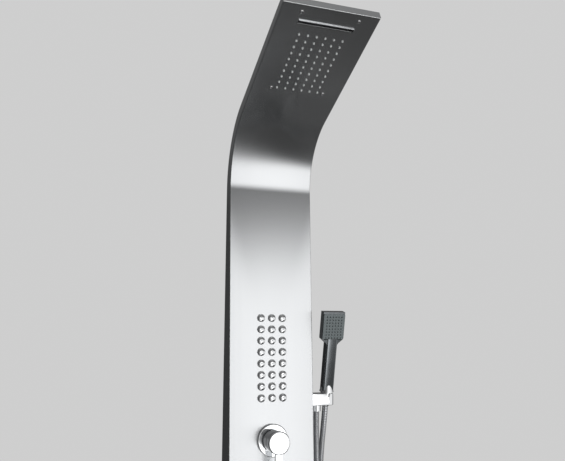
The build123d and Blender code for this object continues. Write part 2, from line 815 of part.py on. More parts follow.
grip_top = handle_top - handle_edge
with BuildPart() as mixer_handle:
    with BuildSketch(mixer_plane.offset(handle_foot)):
        Circle(handle_radius)
    extrude(amount=handle_top - handle_foot)
    top_rim = mixer_handle.edges().sort_by(lambda e: (e.center() - mixer_plane.origin).dot(face_out))[-1]
    fillet(top_rim, handle_edge)
    with BuildSketch(mixer_plane.offset(grip_top - grip_thick)):
        with Locations((0, -(handle_radius + grip_length) / 2)):
            SlotOverall(handle_radius + grip_length, grip_wide, rotation=90)
    extrude(amount=grip_thick)
    with BuildSketch(mixer_plane.offset(handle_foot)):
        Circle(bonnet_radius + 2 * free_gap)
    extrude(amount=handle_cavity_top - handle_foot, mode=Mode.SUBTRACT)
    with BuildSketch(mixer_plane.offset(handle_foot)):
        Rectangle(lever_wide + 2 * fit_gap, lever_deep + 2 * fit_gap)
    extrude(amount=lever_top + fit_gap - handle_foot, mode=Mode.SUBTRACT)
    with BuildSketch(mixer_plane.offset(handle_top)):
        Circle(button_radius + fit_gap)
    extrude(amount=-button_depth, mode=Mode.SUBTRACT)
    grub_plane = Plane(
        origin=mixer_plane.offset((handle_cavity_top + lever_top) / 2).origin,
        x_dir=(1, 0, 0),
        z_dir=face_up,
    )
    with BuildSketch(grub_plane):
        Circle(grub_radius + fit_gap)
    extrude(amount=handle_radius, mode=Mode.SUBTRACT)
mixer_handle.part.label = "mixer_handle"
export_step(mixer_handle.part, "parts/mixer_handle.step")

with BuildPart() as handle_grub:
    with BuildSketch(grub_plane.offset(lever_deep / 2)):
        Circle(grub_radius)
        RegularPolygon(grub_radius / 2, 6, mode=Mode.SUBTRACT)
    extrude(amount=grub_length)
handle_grub.part.label = "handle_grub"
export_step(handle_grub.part, "parts/handle_grub.step")

with BuildPart() as handle_button:
    with BuildSketch(mixer_plane.offset(handle_top - button_depth)):
        Circle(button_radius)
    extrude(amount=button_depth)
handle_button.part.label = "handle_button"
export_step(handle_button.part, "parts/handle_button.step")

# ---------------------------------------------------------------- diverter
diverter_plane = face_spot(0, diverter_drop)
feed_centre = face_spot(0, diverter_drop, -diverter_inset).origin
side_centre = face_spot(0, diverter_drop, -side_port_inset).origin
port_reach = diverter_radius + stub_length
with BuildPart() as diverter_body:
    with BuildSketch(diverter_plane.offset(-sheet)):
        Circle(diverter_radius)
    extrude(amount=-(diverter_depth - sheet))
    with BuildSketch(diverter_plane.offset(diverter_neck_height)):
        Circle(diverter_neck)
    extrude(amount=-(diverter_neck_height + sheet))
    for rise in (-port_spread, port_spread):
        row_plane = Plane(origin=side_centre + face_up * rise, x_dir=face_up, z_dir=(1, 0, 0))
        with BuildSketch(row_plane):
            Circle(stub_radius)
        extrude(amount=port_reach, both=True)
    feed_plane = Plane(origin=feed_centre, x_dir=(1, 0, 0), z_dir=face_up)
    with BuildSketch(feed_plane):
        Circle(stub_radius)
    extrude(amount=port_reach)
    with BuildSketch(diverter_plane.offset(diverter_neck_height)):
        Circle(bonnet_core_radius + fit_gap)
    extrude(amount=-(diverter_neck_height + bonnet_core_depth), mode=Mode.SUBTRACT)
    for rise in (-port_spread, port_spread):
        row_plane = Plane(origin=side_centre + face_up * rise, x_dir=face_up, z_dir=(1, 0, 0))
        with BuildSketch(row_plane):
            Circle(tube_radius - tube_wall)
        extrude(amount=port_reach, both=True, mode=Mode.SUBTRACT)
    with BuildSketch(feed_plane):
        Circle(tube_radius - tube_wall)
    extrude(amount=port_reach, mode=Mode.SUBTRACT)
diverter_body.part.label = "diverter_body"
export_step(diverter_body.part, "parts/diverter_body.step")

with BuildPart() as diverter_locknut:
    with BuildSketch(diverter_plane):
        RegularPolygon(diverter_neck + 7, 6)
        Circle(diverter_neck + fit_gap, mode=Mode.SUBTRACT)
    extrude(amount=locknut_height)
diverter_locknut.part.label = "diverter_locknut"
export_step(diverter_locknut.part, "parts/diverter_locknut.step")

with BuildPart() as diverter_cartridge:
    with BuildSketch(diverter_plane.offset(-bonnet_core_depth)):
        Circle(bonnet_core_radius)
    extrude(amount=bonnet_core_depth + bonnet_core_top)
    with BuildSketch(diverter_plane.offset(spindle_foot - free_gap)):
        Circle(spindle_radius + fit_gap)
    extrude(amount=bonnet_core_top - spindle_foot + 1, mode=Mode.SUBTRACT)
diverter_cartridge.part.label = "diverter_cartridge"
export_step(diverter_cartridge.part, "parts/diverter_cartridge.step")

with BuildPart() as diverter_plate:
    with BuildSketch(diverter_plane):
        Circle(diverter_plate_radius)
    extrude(amount=diverter_plate_height)
    plate_rim = diverter_plate.edges().sort_by(
        lambda e: (e.center() - diverter_plane.origin).dot(face_out)
    )[-1]
    fillet(plate_rim, 2)
    with BuildSketch(diverter_plane):
        Circle(diverter_plate_radius - plate_wall)
    extrude(amount=diverter_plate_height - plate_wall, mode=Mode.SUBTRACT)
    with BuildSketch(diverter_plane):
        Circle(diverter_neck + 1)
    extrude(amount=diverter_plate_height, mode=Mode.SUBTRACT)
diverter_plate.part.label = "diverter_plate"
export_step(diverter_plate.part, "parts/diverter_plate.step")

with BuildPart() as diverter_spindle:
    with BuildSketch(diverter_plane.offset(spindle_foot)):
        Circle(spindle_radius)
    extrude(amount=spindle_top - spindle_foot)
    with BuildSketch(diverter_plane.offset(spindle_top)):
        Circle(knob_screw_radius + fit_gap)
    extrude(amount=-knob_screw_length, mode=Mode.SUBTRACT)
diverter_spindle.part.label = "diverter_spindle"
export_step(diverter_spindle.part, "parts/diverter_spindle.step")

with BuildPart() as diverter_knob:
    with BuildSketch(diverter_plane.offset(knob_foot)):
        Circle(knob_radius)
    extrude(amount=(knob_top - knob_foot) / 2)
    knob_rim = diverter_knob.edges().sort_by(
        lambda e: (e.center() - diverter_plane.origin).dot(face_out)
    )[-1]
    fillet(knob_rim, 2)
    with BuildSketch(diverter_plane.offset(knob_foot)):
        SlotOverall(2 * knob_radius, knob_grip_wide, rotation=90)
    extrude(amount=knob_top - knob_foot)
    with BuildSketch(diverter_plane.offset(knob_foot)):
        Circle(knob_cavity_radius)
    extrude(amount=knob_cavity_top - knob_foot, mode=Mode.SUBTRACT)
    with BuildSketch(diverter_plane.offset(knob_foot)):
        Circle(spindle_radius + fit_gap)
    extrude(amount=spindle_top - knob_foot + fit_gap, mode=Mode.SUBTRACT)
    with BuildSketch(diverter_plane.offset(knob_foot)):
        Circle(knob_screw_radius + fit_gap)
    extrude(amount=knob_top - knob_foot, mode=Mode.SUBTRACT)
    with BuildSketch(diverter_plane.offset(knob_top)):
        Circle(knob_screw_head + fit_gap)
    extrude(amount=-(knob_top - spindle_top) / 2, mode=Mode.SUBTRACT)
diverter_knob.part.label = "diverter_knob"
export_step(diverter_knob.part, "parts/diverter_knob.step")

knob_screw_seat = knob_top - (knob_top - spindle_top) / 2
with BuildPart() as knob_screw:
    with BuildSketch(diverter_plane.offset(knob_screw_seat)):
        Circle(knob_screw_head)
    extrude(amount=2.5)
    with BuildSketch(diverter_plane.offset(knob_screw_seat)):
        Circle(knob_screw_radius)
    extrude(amount=-knob_screw_length)
    with BuildSketch(diverter_plane.offset(knob_screw_seat + 2.5)):
        RegularPolygon(knob_screw_radius, 6)
    extrude(amount=-1.5, mode=Mode.SUBTRACT)
knob_screw.part.label = "knob_screw"
export_step(knob_screw.part, "parts/knob_screw.step")

# ---------------------------------------------------------------- water tubes
# Corner where the inset lines of the face and the head cross
half_bend = (tilt + lean) / 2
face_corner = bend_start + face_up * bend_radius * tan(half_bend)
corner_shift = (face_out + head_out) * (bend_tube_inset / (1 + face_out.dot(head_out)))
tube_corner = face_corner - corner_shift
bend_tube_radius = bend_radius + bend_tube_inset
stub_end = housing_rear + stub_length


def inside(x, drop, inset):
    """A point inside the panel, behind the lower face."""
    return face_spot(x, drop, -inset).origin


def under_cover(x, back):
    """A point inside the head, level with the housing's ports."""
    return head_spot(x, back, stub_lift).origin


def head_route(tube_x, port_x, port_drop):
    """Diverter, up the panel's side, round the bend and into a port of the housing."""
    swing = stub_end + tube_end_run
    return [
        inside(-port_reach, port_drop, side_port_inset),
        inside(tube_x, port_drop, side_port_inset),
        Vector(tube_x, tube_corner.Y, tube_corner.Z),
        under_cover(tube_x, swing + port_x - tube_x),
        under_cover(port_x, swing),
        under_cover(port_x, stub_end),
    ]


holder_centre = Vector(panel_width / 2 + holder_reach, holder_y, holder_z)
upper_port = diverter_drop - port_spread
lower_port = diverter_drop + port_spread
elbow_foot = Vector(outlet_tube_x, holder_y, holder_z - elbow_drop)
head_bends = [tube_bend, bend_tube_radius, tube_bend, tube_bend]
tube_routes = {
    "tube_rain": (head_route(rain_tube_x, rain_port_x, upper_port), head_bends),
    "tube_waterfall": (head_route(fall_tube_x, -duct_x, lower_port), head_bends),
    "tube_jets": (
        [
            inside(port_reach, upper_port, side_port_inset),
            inside(jet_tube_x, upper_port, side_port_inset),
            inside(jet_tube_x, mixer_drop - mixer_radius, -manifold_port_lift),
            inside(jet_port_x, manifold_end + stub_length + tube_end_run, -manifold_port_lift),
            inside(jet_port_x, manifold_end + stub_length, -manifold_port_lift),
        ],
        [tube_bend, tube_bend, tube_bend],
    ),
    "tube_outlet": (
        [
            inside(port_reach, lower_port, side_port_inset),
            inside(outlet_tube_x, lower_port, side_port_inset),
            elbow_foot + Vector(0, 0, -2 * elbow_drop),
            elbow_foot,
        ],
        [tube_bend, 5 * tube_bend],
    ),
}
tube_ends = []
for name, (route, bends) in tube_routes.items():
    with BuildPart() as water_tube:
        with BuildLine():
            tube_path = FilletPolyline(*route, radius=bends)
        with BuildSketch(Plane(origin=tube_path @ 0, z_dir=tube_path % 0)):
            Circle(tube_radius)
            Circle(tube_radius - tube_wall, mode=Mode.SUBTRACT)
        sweep()
    water_tube.part.label = name
    export_step(water_tube.part, f"parts/{name}.step")
    tube_ends.append((tube_path @ 0, tube_path % 0))
    tube_ends.append((tube_path @ 1, -(tube_path % 1)))

mixed_top = arm_centre - face_up * (mixer_radius + stub_length)
mixed_run = (feed_centre + face_up * port_reach - mixed_top).length
mixed_plane = Plane(origin=mixed_top, x_dir=(1, 0, 0), z_dir=-face_up)
with BuildPart() as tube_mixed:
    with BuildSketch(mixed_plane):
        Circle(tube_radius)
        Circle(tube_radius - tube_wall, mode=Mode.SUBTRACT)
    extrude(amount=mixed_run)
tube_mixed.part.label = "tube_mixed"
export_step(tube_mixed.part, "parts/tube_mixed.step")
tube_ends.append((mixed_top, -face_up))
tube_ends.append((mixed_top - face_up * mixed_run, face_up))

with BuildPart() as tube_ferrules:
    for end, direction in tube_ends:
        with BuildSketch(Plane(origin=end, z_dir=direction)):
            Circle(ferrule_radius)
            Circle(tube_radius + fit_gap, mode=Mode.SUBTRACT)
        extrude(amount=ferrule_length)
tube_ferrules.part.label = "tube_ferrules"
export_step(tube_ferrules.part, "parts/tube_ferrules.step")

# Clips that hold the two long tubes to the back of the face
with BuildPart() as tube_clips:
    for name in ("tube_rain", "tube_waterfall"):
        low, high = tube_routes[name][0][1:3]
        for share in (0.3, 0.62):
            spot = low + (high - low) * share
            reach = (spot - bend_start).dot(face_out) * -1 - sheet
            clip_plane = Plane(origin=spot, x_dir=(1, 0, 0), z_dir=(high - low).normalized())
            with BuildSketch(clip_plane):
                Circle(tube_radius + clip_gap + clip_wall)
            extrude(amount=clip_length / 2, both=True)
            with BuildSketch(Plane(origin=spot, x_dir=(1, 0, 0), z_dir=face_out)):
                Rectangle(clip_foot, clip_length)
            extrude(amount=reach)
            with BuildSketch(clip_plane):
                Circle(tube_radius + clip_gap)
            extrude(amount=clip_length, both=True, mode=Mode.SUBTRACT)
tube_clips.part.label = "tube_clips"
export_step(tube_clips.part, "parts/tube_clips.step")

# Strainers in the hot and cold inlets
with BuildPart() as inlet_strainers:
    for hand in (-1, 1):
        mouth = arm_centre + Vector(hand * arm_reach, 0, -inlet_length_whole)
        with BuildSketch(Plane(origin=mouth + Vector(0, 0, 1), z_dir=(0, 0, 1))):
            Circle(inlet_bore - fit_gap)
            with GridLocations(3, 3, 3, 3):
                Circle(0.9, mode=Mode.SUBTRACT)
        extrude(amount=4)
inlet_strainers.part.label = "inlet_strainers"
export_step(inlet_strainers.part, "parts/inlet_strainers.step")

# ---------------------------------------------------------------- hand shower holder and outlet
handset_axis = Vector(0, -sin(handset_tilt), cos(handset_tilt))
seat_centre = holder_centre + handset_axis * ((holder_high / 2 + seat_rise) / cos(handset_tilt))
seat_plane = Plane(origin=seat_centre, x_dir=(1, 0, 0), z_dir=handset_axis)
holder_length = holder_reach + holder_end
socket_slope = (socket_top_radius - socket_foot_radius) / socket_length
socket_above = 2 * seat_rise
socket_below = socket_length + 2 * seat_rise
outlet_top = Plane(
    origin=(panel_width / 2 + outlet_reach, holder_y, holder_z - holder_high / 2),
    z_dir=(0, 0, -1),
)
flange_plane = Plane(origin=(panel_width / 2, holder_y, holder_z), x_dir=(0, 1, 0), z_dir=(1, 0, 0))
with BuildPart() as holder_arm:
    with BuildSketch(Plane.XY.offset(holder_z - holder_high / 2)):
        with Locations(((panel_width + holder_length) / 2, holder_y)):
            Rectangle(holder_length, holder_deep)
    extrude(amount=holder_high)
    end_edges = holder_arm.edges().filter_by(Axis.Z).group_by(Axis.X)[-1]
    fillet(end_edges, holder_corner)
    top_edges = holder_arm.faces().filter_by(Axis.Z).edges().filter_by(
        lambda e: e.center().X > panel_width / 2 + 0.1
    )
    fillet(top_edges, holder_edge)
    with BuildSketch(seat_plane):
        Circle(seat_radius)
    extrude(amount=-seat_depth)
    with BuildSketch(outlet_top):
        Circle(outlet_radius)
    extrude(amount=outlet_length)
    with BuildSketch(flange_plane):
        Circle(spigot_radius)
    extrude(amount=-spigot_length)
    # Socket and the side slot that lets the hose out
    with BuildSketch(Plane(origin=seat_centre, x_dir=(1, 0, 0), z_dir=Vector(1, 0, 0).cross(handset_axis))):
        with BuildLine():
            Polyline(
                (0, socket_above),
                (socket_top_radius + socket_slope * socket_above, socket_above),
                (socket_top_radius - socket_slope * socket_below, -socket_below),
                (0, -socket_below),
                (0, socket_above),
            )
        make_face()
    revolve(axis=Axis(seat_centre, handset_axis), mode=Mode.SUBTRACT)
    with BuildSketch(seat_plane.offset(socket_above)):
        with Locations((holder_length / 2, 0)):
            Rectangle(holder_length, slot_gap)
    extrude(amount=-2 * socket_length, mode=Mode.SUBTRACT)
    # Water way from the spigot down to the outlet
    with BuildSketch(flange_plane.offset(-spigot_length)):
        Circle(spigot_bore)
    extrude(amount=spigot_length + outlet_reach, mode=Mode.SUBTRACT)
    with BuildSketch(outlet_top.offset(outlet_length)):
        Circle(outlet_bore)
    extrude(amount=-(outlet_length + holder_high / 2), mode=Mode.SUBTRACT)
holder_arm.part.label = "holder_arm"
export_step(holder_arm.part, "parts/holder_arm.step")

washer_plane = flange_plane.offset(-sheet)
with BuildPart() as holder_washer:
    with BuildSketch(washer_plane):
        Circle(spigot_radius + 5)
        Circle(spigot_radius + fit_gap, mode=Mode.SUBTRACT)
    extrude(amount=-washer_thickness)
holder_washer.part.label = "holder_washer"
export_step(holder_washer.part, "parts/holder_washer.step")

with BuildPart() as holder_nut:
    with BuildSketch(washer_plane.offset(-washer_thickness)):
        RegularPolygon(holder_nut_flat / 2, 6, major_radius=False)
        Circle(spigot_radius + fit_gap, mode=Mode.SUBTRACT)
    extrude(amount=-holder_nut_height)
holder_nut.part.label = "holder_nut"
export_step(holder_nut.part, "parts/holder_nut.step")

spigot_end = panel_width / 2 - spigot_length
elbow_plane = Plane(
    origin=(spigot_end, holder_y, holder_z), x_dir=(0, 1, 0), z_dir=(-1, 0, 0)
)
with BuildPart() as outlet_elbow:
    with BuildSketch(elbow_plane):
        Circle(elbow_radius)
    extrude(amount=2 * (spigot_end - outlet_tube_x))
    with BuildSketch(Plane(origin=(outlet_tube_x, holder_y, holder_z), z_dir=(0, 0, -1))):
        Circle(stub_radius)
    extrude(amount=elbow_drop)
    with BuildSketch(elbow_plane):
        Circle(spigot_bore)
    extrude(amount=spigot_end - outlet_tube_x, mode=Mode.SUBTRACT)
    with BuildSketch(Plane(origin=(outlet_tube_x, holder_y, holder_z), z_dir=(0, 0, -1))):
        Circle(tube_radius - tube_wall)
    extrude(amount=elbow_drop, mode=Mode.SUBTRACT)
outlet_elbow.part.label = "outlet_elbow"
export_step(outlet_elbow.part, "parts/outlet_elbow.step")

# ---------------------------------------------------------------- hose ends
hose_nut_top = outlet_top.offset(seat_gap)
hose_nut_bore = outlet_length - seat_gap + seal_thickness
with BuildPart() as hose_nut:
    with BuildSketch(hose_nut_top):
        RegularPolygon(hose_nut_radius, 12)
    extrude(amount=hose_nut_length)
    with BuildSketch(hose_nut_top):
        Circle(outlet_radius + fit_gap)
    extrude(amount=hose_nut_bore, mode=Mode.SUBTRACT)
    with BuildSketch(hose_nut_top):
        Circle(hose_bore)
    extrude(amount=hose_nut_length, mode=Mode.SUBTRACT)
hose_nut.part.label = "hose_nut"
export_step(hose_nut.part, "parts/hose_nut.step")

with BuildPart() as hose_seal:
    with BuildSketch(outlet_top.offset(outlet_length)):
        Circle(outlet_radius - fit_gap)
        Circle(outlet_bore, mode=Mode.SUBTRACT)
    extrude(amount=seal_thickness)
hose_seal.part.label = "hose_seal"
export_step(hose_seal.part, "parts/hose_seal.step")

with BuildPart() as hose_cone:
    with BuildSketch(seat_plane):
        Circle(cone_top_radius)
    with BuildSketch(seat_plane.offset(-cone_length)):
        Circle(cone_foot_radius)
    loft()
    with BuildSketch(seat_plane):
        Circle(thread_radius + fit_gap)
    extrude(amount=insert_foot - seal_thickness, mode=Mode.SUBTRACT)
    with BuildSketch(seat_plane):
        Circle(hose_bore)
    extrude(amount=-cone_length, mode=Mode.SUBTRACT)
hose_cone.part.label = "hose_cone"
export_step(hose_cone.part, "parts/hose_cone.step")

with BuildPart() as cone_seal:
    with BuildSketch(seat_plane.offset(insert_foot)):
        Circle(thread_radius - fit_gap)
        Circle(bar_bore, mode=Mode.SUBTRACT)
    extrude(amount=-seal_thickness)
cone_seal.part.label = "cone_seal"
export_step(cone_seal.part, "parts/cone_seal.step")

# ---------------------------------------------------------------- hand shower
# Its front view: x across, y up the handle, z towards the spray side
handset_front = Plane(
    origin=seat_centre, x_dir=(1, 0, 0), z_dir=Vector(1, 0, 0).cross(handset_axis)
)
cavity_foot = spray_middle - spray_pitch_z * spray_rows / 2 - spray_edge
cavity_height = 2 * (spray_middle - cavity_foot)
face_middle = (face_foot + face_top) / 2
mat_front = spray_front
with BuildPart() as handset_body:
    with BuildSketch(handset_front.offset(spray_front)):
        with BuildLine():
            Polyline(
                (-bar_width / 2 + 1, neck_height - bar_edge),
                (-shoulder_width / 2, neck_height),
                (-spray_width / 2, shoulder_height),
                (-spray_width / 2, spray_top),
                (spray_width / 2, spray_top),
                (spray_width / 2, shoulder_height),
                (shoulder_width / 2, neck_height),
                (bar_width / 2 - 1, neck_height - bar_edge),
                (-bar_width / 2 + 1, neck_height - bar_edge),
            )
        make_face()
    extrude(amount=-(spray_front + spray_rear))
    rear_face = handset_body.faces().sort_by(
        lambda f: (f.center() - seat_centre).dot(handset_front.z_dir)
    )[0]
    fillet(rear_face.edges(), spray_edge)
    with BuildSketch(seat_plane.offset(bar_foot)):
        RectangleRounded(bar_width, bar_depth, bar_edge)
    extrude(amount=shoulder_height - bar_foot)
    with BuildSketch(handset_front.offset(spray_front)):
        with Locations((0, spray_middle)):
            RectangleRounded(cavity_width, cavity_height, spray_edge)
    extrude(amount=-cavity_depth, mode=Mode.SUBTRACT)
    with BuildSketch(seat_plane.offset(bar_foot)):
        Circle(bar_bore)
    extrude(amount=cavity_foot - bar_foot + spray_edge, mode=Mode.SUBTRACT)
    with BuildSketch(seat_plane.offset(bar_foot)):
        Circle(insert_radius + fit_gap)
    extrude(amount=insert_top - bar_foot, mode=Mode.SUBTRACT)
handset_body.part.label = "handset_body"
export_step(handset_body.part, "parts/handset_body.step")

with BuildPart() as spray_mat:
    with BuildSketch(handset_front.offset(mat_front)):
        with Locations((0, spray_middle)):
            RectangleRounded(
                cavity_width - 2 * free_gap, cavity_height - 2 * free_gap, spray_edge - free_gap
            )
    extrude(amount=-spray_mat_thickness)
    with BuildSketch(handset_front.offset(mat_front)):
        with Locations((0, spray_middle)):
            with GridLocations(spray_pitch_x, spray_pitch_z, spray_columns, spray_rows):
                Circle(spray_nub_radius)
    extrude(amount=face_thickness + spray_nub_height)
spray_mat.part.label = "spray_mat"
export_step(spray_mat.part, "parts/spray_mat.step")

with BuildPart() as spray_face:
    with BuildSketch(handset_front.offset(spray_front)):
        with Locations((0, face_middle)):
            RectangleRounded(face_width, face_top - face_foot, spray_edge)
    extrude(amount=face_thickness)
    with BuildSketch(handset_front.offset(spray_front)):
        with Locations((0, spray_middle)):
            with GridLocations(spray_pitch_x, spray_pitch_z, spray_columns, spray_rows):
                Circle(spray_nub_radius + fit_gap)
    extrude(amount=face_thickness, mode=Mode.SUBTRACT)
spray_face.part.label = "spray_face"
export_step(spray_face.part, "parts/spray_face.step")

with BuildPart() as handset_insert:
    with BuildSketch(seat_plane.offset(bar_foot)):
        Circle(insert_radius)
    extrude(amount=insert_top - bar_foot)
    with BuildSketch(seat_plane.offset(insert_foot)):
        Circle(thread_radius)
    extrude(amount=bar_foot - insert_foot)
    with BuildSketch(seat_plane.offset(insert_foot)):
        Circle(bar_bore)
    extrude(amount=insert_top - insert_foot, mode=Mode.SUBTRACT)
handset_insert.part.label = "handset_insert"
export_step(handset_insert.part, "parts/handset_insert.step")

# Cone-shaped foot that sits on the holder's seat
with BuildPart() as handset_collar:
    with BuildSketch(seat_plane.offset(seat_gap)):
        Circle(collar_radius)
    with BuildSketch(seat_plane.offset(collar_top)):
        Circle(collar_top_radius)
    loft()
    with BuildSketch(seat_plane.offset(bar_foot)):
        RectangleRounded(bar_width + 2 * fit_gap, bar_depth + 2 * fit_gap, bar_edge + fit_gap)
    extrude(amount=collar_top, mode=Mode.SUBTRACT)
    with BuildSketch(seat_plane):
        Circle(thread_radius + fit_gap)
    extrude(amount=collar_top, mode=Mode.SUBTRACT)
handset_collar.part.label = "handset_collar"
export_step(handset_collar.part, "parts/handset_collar.step")

# ---------------------------------------------------------------- wall brackets and hanger bars
lip_front = -bracket_reach
lip_top = bracket_shelf + bracket_lip
hook_top = lip_top + hook_gap + bracket_sheet
hook_back = lip_front + bracket_sheet + hook_gap
for place, height in (("upper", 0.0), ("lower", bend_z - lower_bracket_drop)):
    screw_line = Vector(0, 0, height)
    with BuildPart() as wall_bracket:
        with BuildSketch(Plane(origin=screw_line, x_dir=(0, 1, 0), z_dir=(1, 0, 0))):
            with BuildLine():
                Polyline(
                    (0, bracket_low),
                    (0, bracket_shelf),
                    (lip_front + bracket_sheet, bracket_shelf),
                    (lip_front + bracket_sheet, lip_top),
                    (lip_front, lip_top),
                    (lip_front, bracket_shelf - bracket_sheet),
                    (-bracket_sheet, bracket_shelf - bracket_sheet),
                    (-bracket_sheet, bracket_low),
                    (0, bracket_low),
                )
            make_face()
        extrude(amount=bracket_width / 2, both=True)
        with BuildSketch(Plane(origin=screw_line, x_dir=(1, 0, 0), z_dir=(0, -1, 0))):
            with Locations((-bracket_pitch / 2, 0), (bracket_pitch / 2, 0)):
                Circle(bracket_hole)
        extrude(amount=bracket_sheet, mode=Mode.SUBTRACT)
    bracket_name = f"wall_bracket_{place}"
    wall_bracket.part.label = bracket_name
    export_step(wall_bracket.part, f"parts/{bracket_name}.step")
    with BuildPart() as hanger_bar:
        with BuildSketch(Plane(origin=screw_line, x_dir=(0, 1, 0), z_dir=(1, 0, 0))):
            with BuildLine():
                Polyline(
                    (hook_back, bracket_shelf + hook_gap),
                    (hook_back, hook_top - bracket_sheet),
                    (-hanger_front + bracket_sheet, hook_top - bracket_sheet),
                    (-hanger_front + bracket_sheet, hanger_low),
                    (-hanger_front, hanger_low),
                    (-hanger_front, hook_top),
                    (hook_back + bracket_sheet, hook_top),
                    (hook_back + bracket_sheet, bracket_shelf + hook_gap),
                    (hook_back, bracket_shelf + hook_gap),
                )
            make_face()
        extrude(amount=panel_width / 2 - sheet, both=True)
    hanger_name = f"hanger_bar_{place}"
    hanger_bar.part.label = hanger_name
    export_step(hanger_bar.part, f"parts/{hanger_name}.step")

# ---------------------------------------------------------------- shower hose
hose_start = hose_nut_top.offset(hose_nut_length).origin
hose_end = seat_centre - handset_axis * cone_length
hose_points = [
    hose_start,
    hose_start + Vector(0, 0, -76),
    Vector(119.8, -36, -615),
    Vector(120.4, -58, -715),
    Vector(121.3, -90, -809),
    Vector(122.2, -126, -897),
    Vector(123.1, -161, -979),
    Vector(123.9, -180, -1053),
    Vector(124.6, -157, -1104),
    Vector(125.1, -107, -1130),
    Vector(125.7, -52, -1118),
    Vector(126.3, -17, -1074),
    Vector(127.3, -12.8, -985),
    Vector(128.9, -10.4, -875),
    Vector(131.1, -9.2, -760),
    Vector(134.2, -9.2, -645),
    Vector(138.2, -11, -540),
    hose_end - handset_axis * 42,
    hose_end,
]
hose_runs = [(b - a).length for a, b in zip(hose_points, hose_points[1:])]
hose_turns = [
    radians((b - a).get_angle(c - b))
    for a, b, c in zip(hose_points, hose_points[1:], hose_points[2:])
]
hose_bends = [
    0.45 * min(before, after) / tan(turn / 2)
    for before, after, turn in zip(hose_runs, hose_runs[1:], hose_turns)
]
print("hose radii", [round(bend) for bend in hose_bends])
print("hose runs", [round(run) for run in hose_runs])
with BuildPart() as shower_hose:
    with BuildLine():
        hose_path = FilletPolyline(*hose_points, radius=hose_bends)
    with BuildSketch(Plane(origin=hose_path @ 0, z_dir=hose_path % 0)):
        Circle(hose_radius)
    sweep()
shower_hose.part.label = "shower_hose"
export_step(shower_hose.part, "parts/shower_hose.step")
hose_section = pi * hose_radius**2
print("hose length", round(hose_path.length), "volume ratio",
      round(shower_hose.part.volume / (hose_section * hose_path.length), 4))
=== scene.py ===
# %% [markdown]
# # A rainfall shower column
# The real thing is one folded sheet of stainless steel that hangs on a bathroom wall, with a rain head,
# body jets, a lever mixer and a hand shower on a wound metal hose.
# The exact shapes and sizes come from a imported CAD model, in metres, with the origin at the upper wall
# screws. This lesson leaves every size alone and builds the looks around it.

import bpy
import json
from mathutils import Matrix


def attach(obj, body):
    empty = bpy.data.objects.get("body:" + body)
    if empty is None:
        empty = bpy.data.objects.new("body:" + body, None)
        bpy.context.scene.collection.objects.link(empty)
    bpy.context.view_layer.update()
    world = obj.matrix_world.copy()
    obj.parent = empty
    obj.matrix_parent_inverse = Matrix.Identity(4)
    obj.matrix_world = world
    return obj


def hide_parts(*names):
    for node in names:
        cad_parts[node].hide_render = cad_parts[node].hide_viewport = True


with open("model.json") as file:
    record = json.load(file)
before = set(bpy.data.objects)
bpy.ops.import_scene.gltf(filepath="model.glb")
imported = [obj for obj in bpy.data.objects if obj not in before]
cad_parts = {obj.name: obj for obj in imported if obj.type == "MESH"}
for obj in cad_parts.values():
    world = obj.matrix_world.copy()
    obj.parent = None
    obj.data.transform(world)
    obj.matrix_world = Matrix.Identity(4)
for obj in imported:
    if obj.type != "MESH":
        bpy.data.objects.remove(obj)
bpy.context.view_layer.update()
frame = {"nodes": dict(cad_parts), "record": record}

# %% [markdown]
# ## The camera
# A product like this is pictured from chest height, a little to the left, so that one flange and the
# underside of the head both show. A camera can be aimed with a Track To constraint, or by writing its
# axes straight into its matrix. The matrix is used here, because it also takes the very small roll.

# %% Camera
import bpy
import json
from math import cos, degrees, pi, radians, sin
from mathutils import Matrix, Vector

camera_place = Vector((-0.45793, -1.42616, -0.21568))
camera_yaw = 0.3364      # to the right of straight ahead
camera_pitch = 0.10716   # upwards
camera_roll = 0.00908
camera_lens = 39.98      # millimetres
camera_sensor = 36.0     # millimetres
camera_shift = 0.0265
ahead = Vector((sin(camera_yaw) * cos(camera_pitch), cos(camera_yaw) * cos(camera_pitch),
                sin(camera_pitch)))
level_right = Vector((cos(camera_yaw), -sin(camera_yaw), 0))
level_up = level_right.cross(ahead)
camera_right = level_right * cos(camera_roll) + level_up * sin(camera_roll)
camera_up = level_up * cos(camera_roll) - level_right * sin(camera_roll)
camera_data = bpy.data.cameras.new("camera")
camera_data.lens = camera_lens
camera_data.sensor_width = camera_sensor
camera_data.shift_y = camera_shift
camera = bpy.data.objects.new("camera", camera_data)
axes = Matrix((camera_right, camera_up, -ahead)).transposed()
camera.matrix_world = Matrix.Translation(camera_place) @ axes.to_4x4()
bpy.context.scene.collection.objects.link(camera)
bpy.context.scene.camera = camera
print("camera lens", camera_lens, "mm, place", tuple(camera_place))

# %% [markdown]
# ## The hose's line
# A shower hose is 1.5 m long and hangs in one loop, from the outlet under the holder round to the cone
# below the hand shower. The line could be a Bezier curve with handles, or a NURBS curve that a few points
# pull into shape. A NURBS curve bends evenly without any handles to balance, so it looks like one
# springy tube. Its first and last runs point straight out of the nut and straight into the cone.

